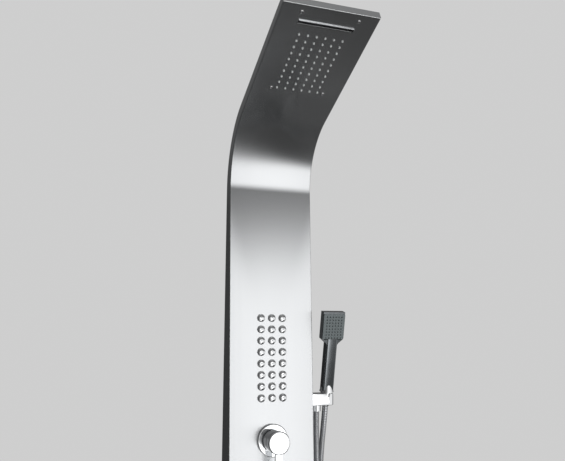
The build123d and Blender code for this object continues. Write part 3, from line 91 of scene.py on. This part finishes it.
# %% Hose route
hose_route = [
    (0.1195, -0.026, -0.4443), (0.1195, -0.026, -0.5203), (0.1198, -0.036, -0.615), (0.1204, -0.058, -0.715),
    (0.1213, -0.09, -0.809), (0.1222, -0.126, -0.897), (0.1231, -0.161, -0.979), (0.1239, -0.18, -1.053),
    (0.1246, -0.157, -1.104), (0.1251, -0.107, -1.13), (0.1257, -0.052, -1.118), (0.1263, -0.017, -1.074),
    (0.1273, -0.0128, -0.985), (0.1289, -0.0104, -0.875), (0.1311, -0.0092, -0.76), (0.1342, -0.0092, -0.645),
    (0.1382, -0.011, -0.54), (0.144, -0.01473, -0.4724), (0.144, -0.0231, -0.43124),
]
hose_data = bpy.data.curves.new("hose_line", "CURVE")
hose_data.dimensions = "3D"
spline = hose_data.splines.new("NURBS")
spline.points.add(len(hose_route) - 1)
for point, place in zip(spline.points, hose_route):
    point.co = (*place, 1.0)
spline.order_u = 3
spline.use_endpoint_u = True
spline.resolution_u = 24
hose_line = bpy.data.objects.new("hose_line", hose_data)
bpy.context.scene.collection.objects.link(hose_line)
bpy.context.view_layer.update()
line_mesh = bpy.data.meshes.new_from_object(hose_line)
hose_path = [vertex.co.copy() for vertex in line_mesh.vertices]
hose_length = sum((b - a).length for a, b in zip(hose_path, hose_path[1:]))
print("hose line", len(hose_path), "points,", round(hose_length, 4), "m")

# %% [markdown]
# ## Materials from nodes
# Every finish is a small node tree around one Principled shader. A noise in the object's own coordinates,
# squeezed along two axes, gives brushed grain; a soft noise in the roughness gives the faint unevenness
# that polished metal has. Numbers that are the same all over sit on the shader's own sockets.

# %% Material helpers
noise_detail = 2.0
noise_low, noise_high = 0.3, 0.7    # where nearly all of a noise's values lie
bump_strength = 0.2


def new_finish(name, colour, metallic, roughness):
    """A material with one Principled shader, its tree and its shader."""
    material = bpy.data.materials.new(name)
    material.use_nodes = True
    tree = material.node_tree
    shader = tree.nodes["Principled BSDF"]
    shader.inputs["Base Color"].default_value = (*colour, 1.0)
    shader.inputs["Metallic"].default_value = metallic
    shader.inputs["Roughness"].default_value = roughness
    return material, tree, shader


def stretched_noise(tree, stretch):
    """Noise in object coordinates, squeezed by a different amount along each axis."""
    place = tree.nodes.new("ShaderNodeTexCoord")
    mapping = tree.nodes.new("ShaderNodeMapping")
    mapping.inputs["Scale"].default_value = stretch
    noise = tree.nodes.new("ShaderNodeTexNoise")
    noise.inputs["Scale"].default_value = 1.0
    noise.inputs["Detail"].default_value = noise_detail
    tree.links.new(place.outputs["Object"], mapping.inputs["Vector"])
    tree.links.new(mapping.outputs["Vector"], noise.inputs["Vector"])
    return noise.outputs["Fac"]


def spread(tree, value, low, high):
    """Takes a noise's values to the range low to high."""
    scale = tree.nodes.new("ShaderNodeMapRange")
    scale.inputs["From Min"].default_value = noise_low
    scale.inputs["From Max"].default_value = noise_high
    scale.inputs["To Min"].default_value = low
    scale.inputs["To Max"].default_value = high
    tree.links.new(value, scale.inputs["Value"])
    return scale.outputs["Result"]


def tinted(tree, value, dark, light):
    """A colour between two, as a 0 to 1 value says."""
    mix = tree.nodes.new("ShaderNodeMix")
    mix.data_type = "RGBA"
    mix.inputs["A"].default_value = (*dark, 1.0)
    mix.inputs["B"].default_value = (*light, 1.0)
    tree.links.new(value, mix.inputs["Factor"])
    return mix.outputs["Result"]


def bumped(tree, shader, value, depth):
    """Pushes the surface's normal about by a height."""
    bump = tree.nodes.new("ShaderNodeBump")
    bump.inputs["Strength"].default_value = bump_strength
    bump.inputs["Distance"].default_value = depth
    tree.links.new(value, bump.inputs["Height"])
    tree.links.new(bump.outputs["Normal"], shader.inputs["Normal"])


def shade(colour, factor):
    """A colour made darker or lighter."""
    return tuple(min(1.0, channel * factor) for channel in colour)


finishes = {}

# %% [markdown]
# ## Brushed steel
# The panel is stainless sheet, brushed along its length with a belt. The grain could be a picture or a
# bump alone. A noise that is very fine across the grain and long along it works at any distance, and the
# flanges take the same grain turned to their own face. Brushing also smears a reflection in one
# direction, so the shader is anisotropic, with a tangent that runs round the panel's upright axis.

# %% Brushed steel of the panel
panel_steel = (0.60, 0.61, 0.62)
panel_roughness = 0.25
panel_anisotropy = 0.9
grain_across = 900      # noise per metre across the grain
grain_along = 1.2       # noise per metre along it
grain_tint = 0.035      # how much darker or lighter a scratch is
grain_rough = 0.015     # how much smoother or rougher it is
material, tree, shader = new_finish("brushed_panel", panel_steel, 1.0, panel_roughness)
grain = stretched_noise(tree, (grain_across, grain_along, grain_along))
cross_grain = stretched_noise(tree, (grain_along, grain_across, grain_along))
facing = tree.nodes.new("ShaderNodeNewGeometry")
split = tree.nodes.new("ShaderNodeSeparateXYZ")
sideways = tree.nodes.new("ShaderNodeMath")
sideways.operation = "ABSOLUTE"
tree.links.new(facing.outputs["Normal"], split.inputs["Vector"])
tree.links.new(split.outputs["X"], sideways.inputs[0])
pick = tree.nodes.new("ShaderNodeMix")
tree.links.new(sideways.outputs[0], pick.inputs["Factor"])
tree.links.new(grain, pick.inputs["A"])
tree.links.new(cross_grain, pick.inputs["B"])
brushing = pick.outputs["Result"]
scratches = tinted(tree, brushing, shade(panel_steel, 1 - grain_tint), shade(panel_steel, 1 + grain_tint))
tree.links.new(scratches, shader.inputs["Base Color"])
gloss = spread(tree, brushing, panel_roughness - grain_rough, panel_roughness + grain_rough)
tree.links.new(gloss, shader.inputs["Roughness"])
across = tree.nodes.new("ShaderNodeTangent")
across.direction_type = "RADIAL"
across.axis = "Z"
tree.links.new(across.outputs["Tangent"], shader.inputs["Tangent"])
shader.inputs["Anisotropic"].default_value = panel_anisotropy
finishes["brushed_panel"] = material
print("material", material.name)

# %% [markdown]
# ## The other finishes
# Chrome on the fittings, wound strip on the hose, brass and plastic inside, and rubber nozzles. The hand
# shower's body has chrome with a darkened base colour, a painted dark reflection in place of the dark
# surroundings that chrome would mirror. One table gives each its colour, its range of roughness and the
# size of its unevenness, so they are made in one loop. Separate cells would say the same thing thirteen
# times.

# %% Other finishes
cloud_dark, cloud_light = 0.95, 1.04    # how far a finish's colour wanders
plain_finishes = {
    # slot: (colour, metallic, roughness low, roughness high, noise scale, bump depth)
    "plain_steel": ((0.66, 0.66, 0.65), 1.0, 0.28, 0.42, 60, 0.00002),
    "screw_steel": ((0.58, 0.58, 0.59), 1.0, 0.14, 0.22, 200, 0.00001),
    "chrome_plate": ((0.80, 0.81, 0.82), 1.0, 0.04, 0.08, 40, 0.000005),
    "hose_metal": ((0.62, 0.63, 0.65), 1.0, 0.14, 0.22, 120, 0.00001),
    "brass_body": ((0.72, 0.58, 0.32), 1.0, 0.24, 0.36, 90, 0.00002),
    "nozzle_rubber": ((0.62, 0.64, 0.64), 0.0, 0.38, 0.52, 300, 0.00003),
    "spray_rubber": ((0.02, 0.028, 0.03), 0.0, 0.5, 0.6, 300, 0.00003),
    "seal_rubber": ((0.06, 0.06, 0.065), 0.0, 0.6, 0.75, 300, 0.00004),
    "housing_plastic": ((0.10, 0.10, 0.11), 0.0, 0.48, 0.6, 500, 0.00004),
    "cartridge_plastic": ((0.82, 0.82, 0.79), 0.0, 0.38, 0.5, 300, 0.00002),
    "tube_plastic": ((0.78, 0.79, 0.80), 0.0, 0.3, 0.42, 150, 0.00002),
    # grey_chrome is chrome with its base colour darkened: painted shade, a dark reflection put into the
    # colour of the hand shower's body
    "grey_chrome": ((0.22, 0.235, 0.245), 1.0, 0.08, 0.12, 40, 0.000005),
    "spray_plate": ((0.125, 0.148, 0.153), 0.0, 0.22, 0.32, 250, 0.00001),
}
for slot_name, (colour, metallic, smooth, rough, scale, depth) in plain_finishes.items():
    material, tree, shader = new_finish(slot_name, colour, metallic, rough)
    cloud = stretched_noise(tree, (scale, scale, scale))
    clouded = tinted(tree, cloud, shade(colour, cloud_dark), shade(colour, cloud_light))
    tree.links.new(clouded, shader.inputs["Base Color"])
    tree.links.new(spread(tree, cloud, smooth, rough), shader.inputs["Roughness"])
    bumped(tree, shader, cloud, depth)
    finishes[slot_name] = material
print("finishes", sorted(finishes))

# %% [markdown]
# ## The CAD pieces
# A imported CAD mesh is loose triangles, so a curved sheet would show its facets. The triangles of a copy
# can be welded, and its edges marked sharp only where the real piece has one. The copy then stands for
# the CAD node, which stays in the model for the physics.

# %% Welded copies
import bmesh

weld_distance = 0.000002
sharp_angle = radians(32.0)
slot_of = {row["node"]: row["material_slot"] for row in frame["record"]["subparts"]}
bodies = frame["record"]["behaviour"]["bodies"]
body_of = {node: body for body, nodes in bodies.items() for node in nodes}


def smooth_by_angle(mesh):
    """Welds a mesh and smooths it, but for edges that turn by more than the sharp angle."""
    work = bmesh.new()
    work.from_mesh(mesh)
    bmesh.ops.remove_doubles(work, verts=work.verts, dist=weld_distance)
    for face in work.faces:
        face.smooth = True
    for edge in work.edges:
        if len(edge.link_faces) == 2:
            edge.smooth = edge.calc_face_angle(0.0) < sharp_angle
    work.to_mesh(mesh)
    work.free()


def settle(piece, node):
    """Gives a finished piece the body of the CAD node that it stands for, and hides that node."""
    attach(piece, body_of[node])
    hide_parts(node)


made_in_blender = {"shower_hose", "body_jets", "head_screws", "nozzle_mat", "spray_mat", "cover_screws"}
for node, source in frame["nodes"].items():
    if node in made_in_blender:
        continue
    copy = source.data.copy()
    copy.name = node + "_skin"
    smooth_by_angle(copy)
    copy.materials.clear()
    copy.materials.append(finishes[slot_of[node]])
    piece = bpy.data.objects.new(node + "_skin", copy)
    bpy.context.scene.collection.objects.link(piece)
    settle(piece, node)
print("welded", len(frame["nodes"]) - len(made_in_blender), "pieces")

# %% [markdown]
# ## The wound hose
# The hose is a strip of steel wound into a tube, so its outside has fine rings all the way along. They
# could be a bump, but a bump doesn't change the outline. Geometry Nodes sweep a circle along the line
# instead, one ring to the millimetre, and every second pair of rings is a little smaller.

# %% Hose
def new_tree(name, inputs):
    """An empty geometry tree with named inputs, and its group input and output."""
    tree = bpy.data.node_groups.new(name, "GeometryNodeTree")
    tree.interface.new_socket("Geometry", in_out="INPUT", socket_type="NodeSocketGeometry")
    for label, kind in inputs:
        tree.interface.new_socket(label, in_out="INPUT", socket_type=kind)
    tree.interface.new_socket("Geometry", in_out="OUTPUT", socket_type="NodeSocketGeometry")
    return tree, tree.nodes.new("NodeGroupInput"), tree.nodes.new("NodeGroupOutput")


def finish_tree(tree, given, result, geometry):
    """Ends a tree in real geometry with a material on it."""
    realise = tree.nodes.new("GeometryNodeRealizeInstances")
    paint = tree.nodes.new("GeometryNodeSetMaterial")
    tree.links.new(geometry, realise.inputs["Geometry"])
    tree.links.new(realise.outputs["Geometry"], paint.inputs["Geometry"])
    tree.links.new(given.outputs["Material"], paint.inputs["Material"])
    tree.links.new(paint.outputs["Geometry"], result.inputs["Geometry"])


def grow(name, source, tree, values):
    """Runs a tree on an object and keeps the result as a plain mesh object."""
    modifier = source.modifiers.new("grow", "NODES")
    modifier.node_group = tree
    sockets = {item.name: item.identifier for item in tree.interface.items_tree
               if item.in_out == "INPUT"}
    for label, value in values.items():
        modifier[sockets[label]] = value
    bpy.context.view_layer.update()
    evaluated = source.evaluated_get(bpy.context.evaluated_depsgraph_get())
    mesh = bpy.data.meshes.new_from_object(evaluated)
    mesh.name = name
    source.modifiers.clear()
    bpy.data.objects.remove(source)
    piece = bpy.data.objects.new(name, mesh)
    bpy.context.scene.collection.objects.link(piece)
    return piece


hose_tree, given, result = new_tree("wound_hose", [
    ("Radius", "NodeSocketFloat"), ("Groove", "NodeSocketFloat"), ("Step", "NodeSocketFloat"),
    ("Sides", "NodeSocketInt"), ("Material", "NodeSocketMaterial")])
to_curve = hose_tree.nodes.new("GeometryNodeResampleCurve")
to_curve.mode = "LENGTH"
index = hose_tree.nodes.new("GeometryNodeInputIndex")
turn = hose_tree.nodes.new("ShaderNodeMath")
turn.operation = "MODULO"
turn.inputs[1].default_value = 4.0
low_half = hose_tree.nodes.new("ShaderNodeMath")
low_half.operation = "GREATER_THAN"
low_half.inputs[1].default_value = 1.5
cut = hose_tree.nodes.new("ShaderNodeMath")
cut.operation = "MULTIPLY"
thick = hose_tree.nodes.new("ShaderNodeMath")
thick.operation = "SUBTRACT"
circle = hose_tree.nodes.new("GeometryNodeCurvePrimitiveCircle")
circle.inputs["Radius"].default_value = 1.0
tube = hose_tree.nodes.new("GeometryNodeCurveToMesh")
tube.inputs["Fill Caps"].default_value = True
hose_tree.links.new(given.outputs["Geometry"], to_curve.inputs["Curve"])
hose_tree.links.new(given.outputs["Step"], to_curve.inputs["Length"])
hose_tree.links.new(index.outputs["Index"], turn.inputs[0])
hose_tree.links.new(turn.outputs[0], low_half.inputs[0])
hose_tree.links.new(low_half.outputs[0], cut.inputs[0])
hose_tree.links.new(given.outputs["Groove"], cut.inputs[1])
hose_tree.links.new(given.outputs["Radius"], thick.inputs[0])
hose_tree.links.new(cut.outputs[0], thick.inputs[1])
hose_tree.links.new(to_curve.outputs["Curve"], tube.inputs["Curve"])
hose_tree.links.new(thick.outputs[0], tube.inputs["Scale"])
hose_tree.links.new(given.outputs["Sides"], circle.inputs["Resolution"])
hose_tree.links.new(circle.outputs["Curve"], tube.inputs["Profile Curve"])
finish_tree(hose_tree, given, result, tube.outputs["Mesh"])
hose = grow("wound_hose", hose_line, hose_tree, {
    "Radius": 0.007, "Groove": 0.0007, "Step": 0.001, "Sides": 20, "Material": finishes["hose_metal"]})
settle(hose, "shower_hose")
print("hose", len(hose.data.polygons), "faces")

# %% [markdown]
# ## Turned pieces
# Jets, screws and nozzle tips are all turned shapes. They could be cut from cylinders, but a profile that
# is spun round its axis gives the rim, the dome and the little hole at once. A screw's socket is the same
# spin with its radius pulled in to a hexagon.

# %% Spun profiles
millimetre = 0.001


def turned(name, profile, sides=32):
    """A mesh from rows of radius, height and 1 for a hexagonal ring, closed at both ends."""
    corners = []
    for radius, height, hexagonal in profile:
        for step in range(sides):
            angle = 2 * pi * step / sides
            reach = radius
            if hexagonal:
                reach = radius * cos(pi / 6) / cos(angle % (pi / 3) - pi / 6)
            corners.append((reach * cos(angle) * millimetre, reach * sin(angle) * millimetre,
                            height * millimetre))
    faces = [tuple(reversed(range(sides)))]
    for row in range(len(profile) - 1):
        for step in range(sides):
            after = (step + 1) % sides
            faces.append((row * sides + step, row * sides + after,
                          (row + 1) * sides + after, (row + 1) * sides + step))
    last = (len(profile) - 1) * sides
    faces.append(tuple(range(last, last + sides)))
    mesh = bpy.data.meshes.new(name)
    mesh.from_pydata(corners, [], faces)
    smooth_by_angle(mesh)
    return mesh


jet_mesh = turned("one_jet", [
    (4.5, -12.0, 0), (4.5, 0.0, 0), (8.8, 0.0, 0), (9.0, 0.25, 0), (9.0, 1.3, 0), (8.85, 1.9, 0),
    (8.3, 2.6, 0), (7.2, 3.4, 0), (5.9, 3.98, 0), (4.4, 4.35, 0), (4.15, 4.2, 0), (3.9, 4.4, 0),
    (2.6, 4.55, 0), (1.6, 4.6, 0), (1.3, 4.4, 0), (1.3, -6.0, 0)], 40)
dome_mesh = turned("one_dome_screw", [
    (2.0, -9.0, 0), (2.0, 0.0, 0), (4.45, 0.0, 0), (4.6, 0.15, 0), (4.3, 0.75, 0), (3.6, 1.45, 0),
    (2.7, 2.0, 0), (1.75, 2.3, 0), (1.5, 2.3, 1), (1.4, 2.2, 1), (1.4, 0.9, 1)], 36)
cover_screw_mesh = turned("one_cover_screw", [
    (1.8, -6.0, 0), (1.8, 0.0, 0), (3.1, 0.0, 0), (3.2, 0.12, 0), (3.1, 0.8, 0), (2.6, 1.4, 0),
    (1.7, 1.75, 0), (1.3, 1.78, 0), (1.15, 1.78, 1), (1.1, 1.7, 1), (1.1, 0.6, 1)], 36)
rain_tip_mesh = turned("one_rain_tip", [
    (2.1, -1.5, 0), (2.0, 1.2, 0), (1.92, 1.7, 0), (1.7, 1.93, 0), (1.3, 2.0, 0), (0.75, 1.98, 0),
    (0.6, 1.8, 0), (0.6, -2.9, 0)], 20)
spray_tip_mesh = turned("one_spray_tip", [
    (1.4, 0.0, 0), (1.38, 2.9, 0), (1.3, 3.15, 0), (1.1, 3.28, 0), (0.7, 3.3, 0), (0.45, 3.15, 0),
    (0.4, 1.2, 0)], 18)
print("turned meshes", len(jet_mesh.vertices), len(dome_mesh.vertices), len(rain_tip_mesh.vertices))

# %% [markdown]
# ## Copies in a grid
# Three by eight jets, six by ten rain tips and six by eight spray tips each stand in an even grid on a
# flat face. An array modifier could do one row at a time. A geometry tree with the columns, the rows and
# both spacings as its inputs does any of them, and joins the tips to the sheet that they are moulded on.

# %% Grid tree
grid_tree, given, result = new_tree("copies_in_a_grid", [
    ("Piece", "NodeSocketObject"), ("Columns", "NodeSocketInt"), ("Rows", "NodeSocketInt"),
    ("Wide", "NodeSocketFloat"), ("Long", "NodeSocketFloat"), ("Place", "NodeSocketVector"),
    ("Turn", "NodeSocketFloat"), ("Material", "NodeSocketMaterial")])
grid = grid_tree.nodes.new("GeometryNodeMeshGrid")
taken = grid_tree.nodes.new("GeometryNodeObjectInfo")
copies = grid_tree.nodes.new("GeometryNodeInstanceOnPoints")
together = grid_tree.nodes.new("GeometryNodeJoinGeometry")
turning = grid_tree.nodes.new("ShaderNodeCombineXYZ")
moved = grid_tree.nodes.new("GeometryNodeTransform")
for source_label, node, target_label in (
        ("Columns", grid, "Vertices X"), ("Rows", grid, "Vertices Y"), ("Wide", grid, "Size X"),
        ("Long", grid, "Size Y"), ("Piece", taken, "Object"), ("Turn", turning, "X"),
        ("Place", moved, "Translation")):
    grid_tree.links.new(given.outputs[source_label], node.inputs[target_label])
grid_tree.links.new(grid.outputs["Mesh"], copies.inputs["Points"])
grid_tree.links.new(taken.outputs["Geometry"], copies.inputs["Instance"])
grid_tree.links.new(copies.outputs["Instances"], together.inputs["Geometry"])
grid_tree.links.new(given.outputs["Geometry"], together.inputs["Geometry"])
grid_tree.links.new(together.outputs["Geometry"], moved.inputs["Geometry"])
grid_tree.links.new(turning.outputs["Vector"], moved.inputs["Rotation"])
finish_tree(grid_tree, given, result, moved.outputs["Geometry"])


def boxes(name, rows):
    """A mesh of boxes, each from its low and high corner in millimetres."""
    work = bmesh.new()
    for low_corner, high_corner in rows:
        size = Vector(high_corner) - Vector(low_corner)
        middle = (Vector(high_corner) + Vector(low_corner)) / 2
        shape = Matrix.Translation(middle * millimetre) @ Matrix.Diagonal((*(size * millimetre), 1.0))
        bmesh.ops.create_cube(work, size=1.0, matrix=shape)
    mesh = bpy.data.meshes.new(name)
    work.to_mesh(mesh)
    work.free()
    return mesh


def grid_piece(node, copy_mesh, counts, pitch, place, turn_degrees, base_rows=()):
    """Fills a CAD node's place with a grid of copies, and the sheet under them if there is one."""
    copy_object = bpy.data.objects.new(node + "_copy", copy_mesh)
    base = bpy.data.objects.new(node + "_base", boxes(node + "_base", base_rows))
    for helper in (copy_object, base):
        bpy.context.scene.collection.objects.link(helper)
    columns, rows = counts
    piece = grow(node + "_skin", base, grid_tree, {
        "Piece": copy_object, "Columns": columns, "Rows": rows,
        "Wide": pitch[0] * (columns - 1) * millimetre, "Long": pitch[1] * (rows - 1) * millimetre,
        "Place": Vector(place) * millimetre, "Turn": radians(turn_degrees),
        "Material": finishes[slot_of[node]]})
    bpy.data.objects.remove(copy_object)
    settle(piece, node)
    print(node, len(piece.data.polygons), "faces")


# %% [markdown]
# ## Jets, tips and screws
# Each grid lies on a flat part of the sheet, so one turn about the X axis and one place set it down. The
# lower face leans out by 3 degrees, so its grid is turned by 87. The head's face looks down and forward
# and takes 155, the hand shower's face takes 101.5, and the cover over the head's back takes -23.7.

# %% Grids on the flat faces
def on_face(origin, turn_degrees, along, lift=0.0):
    """A point on a face through an origin: along it, then out of it."""
    turn_angle = radians(turn_degrees)
    return (origin[0], origin[1] + cos(turn_angle) * along - sin(turn_angle) * lift,
            origin[2] + sin(turn_angle) * along + cos(turn_angle) * lift)


# each flat face: a point on it and its turn about the X axis
bend_top, lower_turn = (0.0, -30.0, 70.0), 87
head_tip, head_turn = (0.0, -395.867, 351.014), 155
spray_seat, spray_turn = (144.0, -29.683, -398.9), 101.5
cover_middle, cover_turn = (0.0, -192.137, 279.27), -23.7
jets_along, head_screws_along, rain_along, spray_along = -387.7, -116.0, -140.0, 156.0
spray_lift = 10.5

grid_piece("body_jets", jet_mesh, counts=(3, 8), pitch=(25.6, 25.6),
           place=on_face(bend_top, lower_turn, jets_along), turn_degrees=lower_turn)
grid_piece("head_screws", dome_mesh, counts=(2, 2), pitch=(118.0, 198.0),
           place=on_face(head_tip, head_turn, head_screws_along), turn_degrees=head_turn)
grid_piece("cover_screws", cover_screw_mesh, counts=(2, 1), pitch=(118.0, 0.0),
           place=cover_middle, turn_degrees=cover_turn)
# the sheet of each mat is given from the middle of its own grid
grid_piece("nozzle_mat", rain_tip_mesh, counts=(6, 10), pitch=(18.5, 16.0),
           place=on_face(head_tip, head_turn, rain_along), turn_degrees=head_turn, base_rows=[
               ((-68, -86, -3), (68, 95.5, -1.5)), ((-68, 105.5, -3), (68, 132, -1.5)),
               ((-68, 95.5, -3), (-58, 105.5, -1.5)), ((58, 95.5, -3), (68, 105.5, -1.5))])
grid_piece("spray_mat", spray_tip_mesh, counts=(6, 8), pitch=(7.3, 7.0),
           place=on_face(spray_seat, spray_turn, spray_along, spray_lift), turn_degrees=spray_turn,
           base_rows=[((-21.7, -28, -1.5), (21.7, 28, 0)), ((-20, -29.7, -1.5), (20, -28, 0)),
                      ((-20, 28, -1.5), (20, 29.7, 0))])

# %% [markdown]
# ## Studio sky
# Polished steel shows its surroundings more than its own colour. A bright band stands in front and to the
# right, from a little above eye level to well below it, as a long softbox would. The rest is dim, so the
# head's underside goes dark and the bend shows one bright stripe. The sky could be a flat grey, but then
# every curve would look flat too. It is worked out from the direction's height and compass angle, and
# the camera sees a plain grey in its place.

# %% Sky
softbox_strength = 3.0
softbox_compass = 20.0   # where its lower edge starts to lean
softbox_lean = 8.0       # degrees, at most
backdrop_grey = 0.62
scene = bpy.context.scene
scene.view_settings.view_transform = "Standard"
world = bpy.data.worlds.new("studio")
scene.world = world
world.use_nodes = True
sky = world.node_tree


def sky_ramp(value, low, high, stops):
    """Greys along a value from low to high, as an output of the sky's tree."""
    ranged = sky.nodes.new("ShaderNodeMapRange")
    ranged.inputs["From Min"].default_value = low
    ranged.inputs["From Max"].default_value = high
    ramp = sky.nodes.new("ShaderNodeValToRGB")
    ramp.color_ramp.interpolation = "LINEAR"
    while len(ramp.color_ramp.elements) < len(stops):
        ramp.color_ramp.elements.new(0.5)
    for element, (place, grey) in zip(ramp.color_ramp.elements, stops):
        element.position = (place - low) / (high - low)
        element.color = (grey, grey, grey, 1.0)
    sky.links.new(value, ranged.inputs["Value"])
    sky.links.new(ranged.outputs["Result"], ramp.inputs["Fac"])
    return ramp.outputs["Color"]


def sky_maths(operation, first, second):
    """One step of arithmetic on an output and an output or a number."""
    step = sky.nodes.new("ShaderNodeMath")
    step.operation = operation
    for value, socket in ((first, step.inputs[0]), (second, step.inputs[1])):
        if isinstance(value, float):
            socket.default_value = value
        else:
            sky.links.new(value, socket)
    return step.outputs[0]


direction = sky.nodes.new("ShaderNodeTexCoord")
parts = sky.nodes.new("ShaderNodeSeparateXYZ")
sky.links.new(direction.outputs["Generated"], parts.inputs["Vector"])
forward = sky_maths("MULTIPLY", parts.outputs["Y"], -1.0)
compass = sky_maths("MULTIPLY", sky_maths("ARCTAN2", parts.outputs["X"], forward), degrees(1))
climb = sky_maths("MULTIPLY", sky_maths("ARCSINE", parts.outputs["Z"], 0.0), degrees(1))
# the softbox leans, so its lower edge climbs to the right
leaning = sky_maths("MINIMUM", sky_maths("SUBTRACT", compass, softbox_compass), softbox_lean)
softbox_foot = sky_ramp(sky_maths("SUBTRACT", climb, leaning), -40.0, 0.0, [
    (-38.0, 0.0), (-30.0, 0.3), (-25.0, 0.95), (-15.0, 1.0)])
softbox_head = sky_ramp(climb, 0.0, 30.0, [(8.5, 1.0), (11.0, 0.5), (13.0, 0.07), (30.0, 0.03)])
softbox_turn = sky_ramp(compass, -180.0, 180.0, [
    (-60.0, 0.0), (-15.0, 0.08), (12.0, 0.5), (17.0, 0.92),
    (21.8, 1.0), (22.9, 0.33), (60.0, 0.33), (110.0, 0.04)])
room_height = sky_ramp(climb, -90.0, 90.0, [
    (-90.0, 0.08), (-45.0, 0.07), (-15.0, 0.05), (10.0, 0.06), (14.0, 0.12), (30.0, 0.16), (90.0, 0.4)])
glow_behind = sky_ramp(compass, 90.0, 180.0, [(120.0, 0.0), (131.0, 0.08), (142.0, 0.0)])
softbox = sky_maths("MULTIPLY", softbox_turn, sky_maths("MULTIPLY", softbox_foot, softbox_head))
room = sky_maths("ADD", room_height, glow_behind)
seen_light = sky_maths("ADD", sky_maths("MULTIPLY", softbox, softbox_strength), room)
camera_sees = sky.nodes.new("ShaderNodeLightPath")
plain = sky.nodes.new("ShaderNodeMix")
plain.inputs["B"].default_value = backdrop_grey
sky.links.new(camera_sees.outputs["Is Camera Ray"], plain.inputs["Factor"])
sky.links.new(seen_light, plain.inputs["A"])
sky.links.new(plain.outputs["Result"], sky.nodes["Background"].inputs["Color"])
print("sky nodes", len(sky.nodes))

# %% [markdown]
# ## Lamps and floor
# A front lamp and a ceiling lamp, both soft, light the plastic and rubber, which a sky band alone leaves
# flat. They are kept out of the mirror finishes, where they would show as square patches. The floor is a
# plain pale disc under the panel, 4.4 m across, and the mirrors don't see it either.

# %% Lamps and floor
def lamp(name, place, target, size, power):
    """A soft lamp that points at a target and lights only what isn't a mirror."""
    data = bpy.data.lights.new(name, "AREA")
    data.energy = power
    data.shape = "RECTANGLE"
    data.size, data.size_y = size
    light = bpy.data.objects.new(name, data)
    light.location = place
    light.rotation_euler = (Vector(target) - Vector(place)).to_track_quat("-Z", "Y").to_euler()
    light.visible_glossy = False
    scene.collection.objects.link(light)


lamp("key_lamp", (1.5, -2.2, 0.1), (0, 0, -0.1), (1.2, 1.2), 24)
lamp("ceiling_lamp", (0, 0, 3.4), (0, 0, 0), (3.6, 3.6), 150)

floor_mesh = bpy.data.meshes.new("floor")
floor_sides = 64
floor_reach = 2.2
floor_height = -1.35
floor_angles = [2 * pi * side / floor_sides for side in range(floor_sides)]
rim = [(floor_reach * cos(angle), floor_reach * sin(angle), floor_height) for angle in floor_angles]
floor_mesh.from_pydata(rim, [], [tuple(range(floor_sides))])
floor = bpy.data.objects.new("floor", floor_mesh)
floor.visible_glossy = False
scene.collection.objects.link(floor)
material, tree, shader = new_finish("floor", (0.72, 0.72, 0.71), 0.0, 0.7)
floor_mesh.materials.append(material)
print("floor radius", floor_reach, "m")
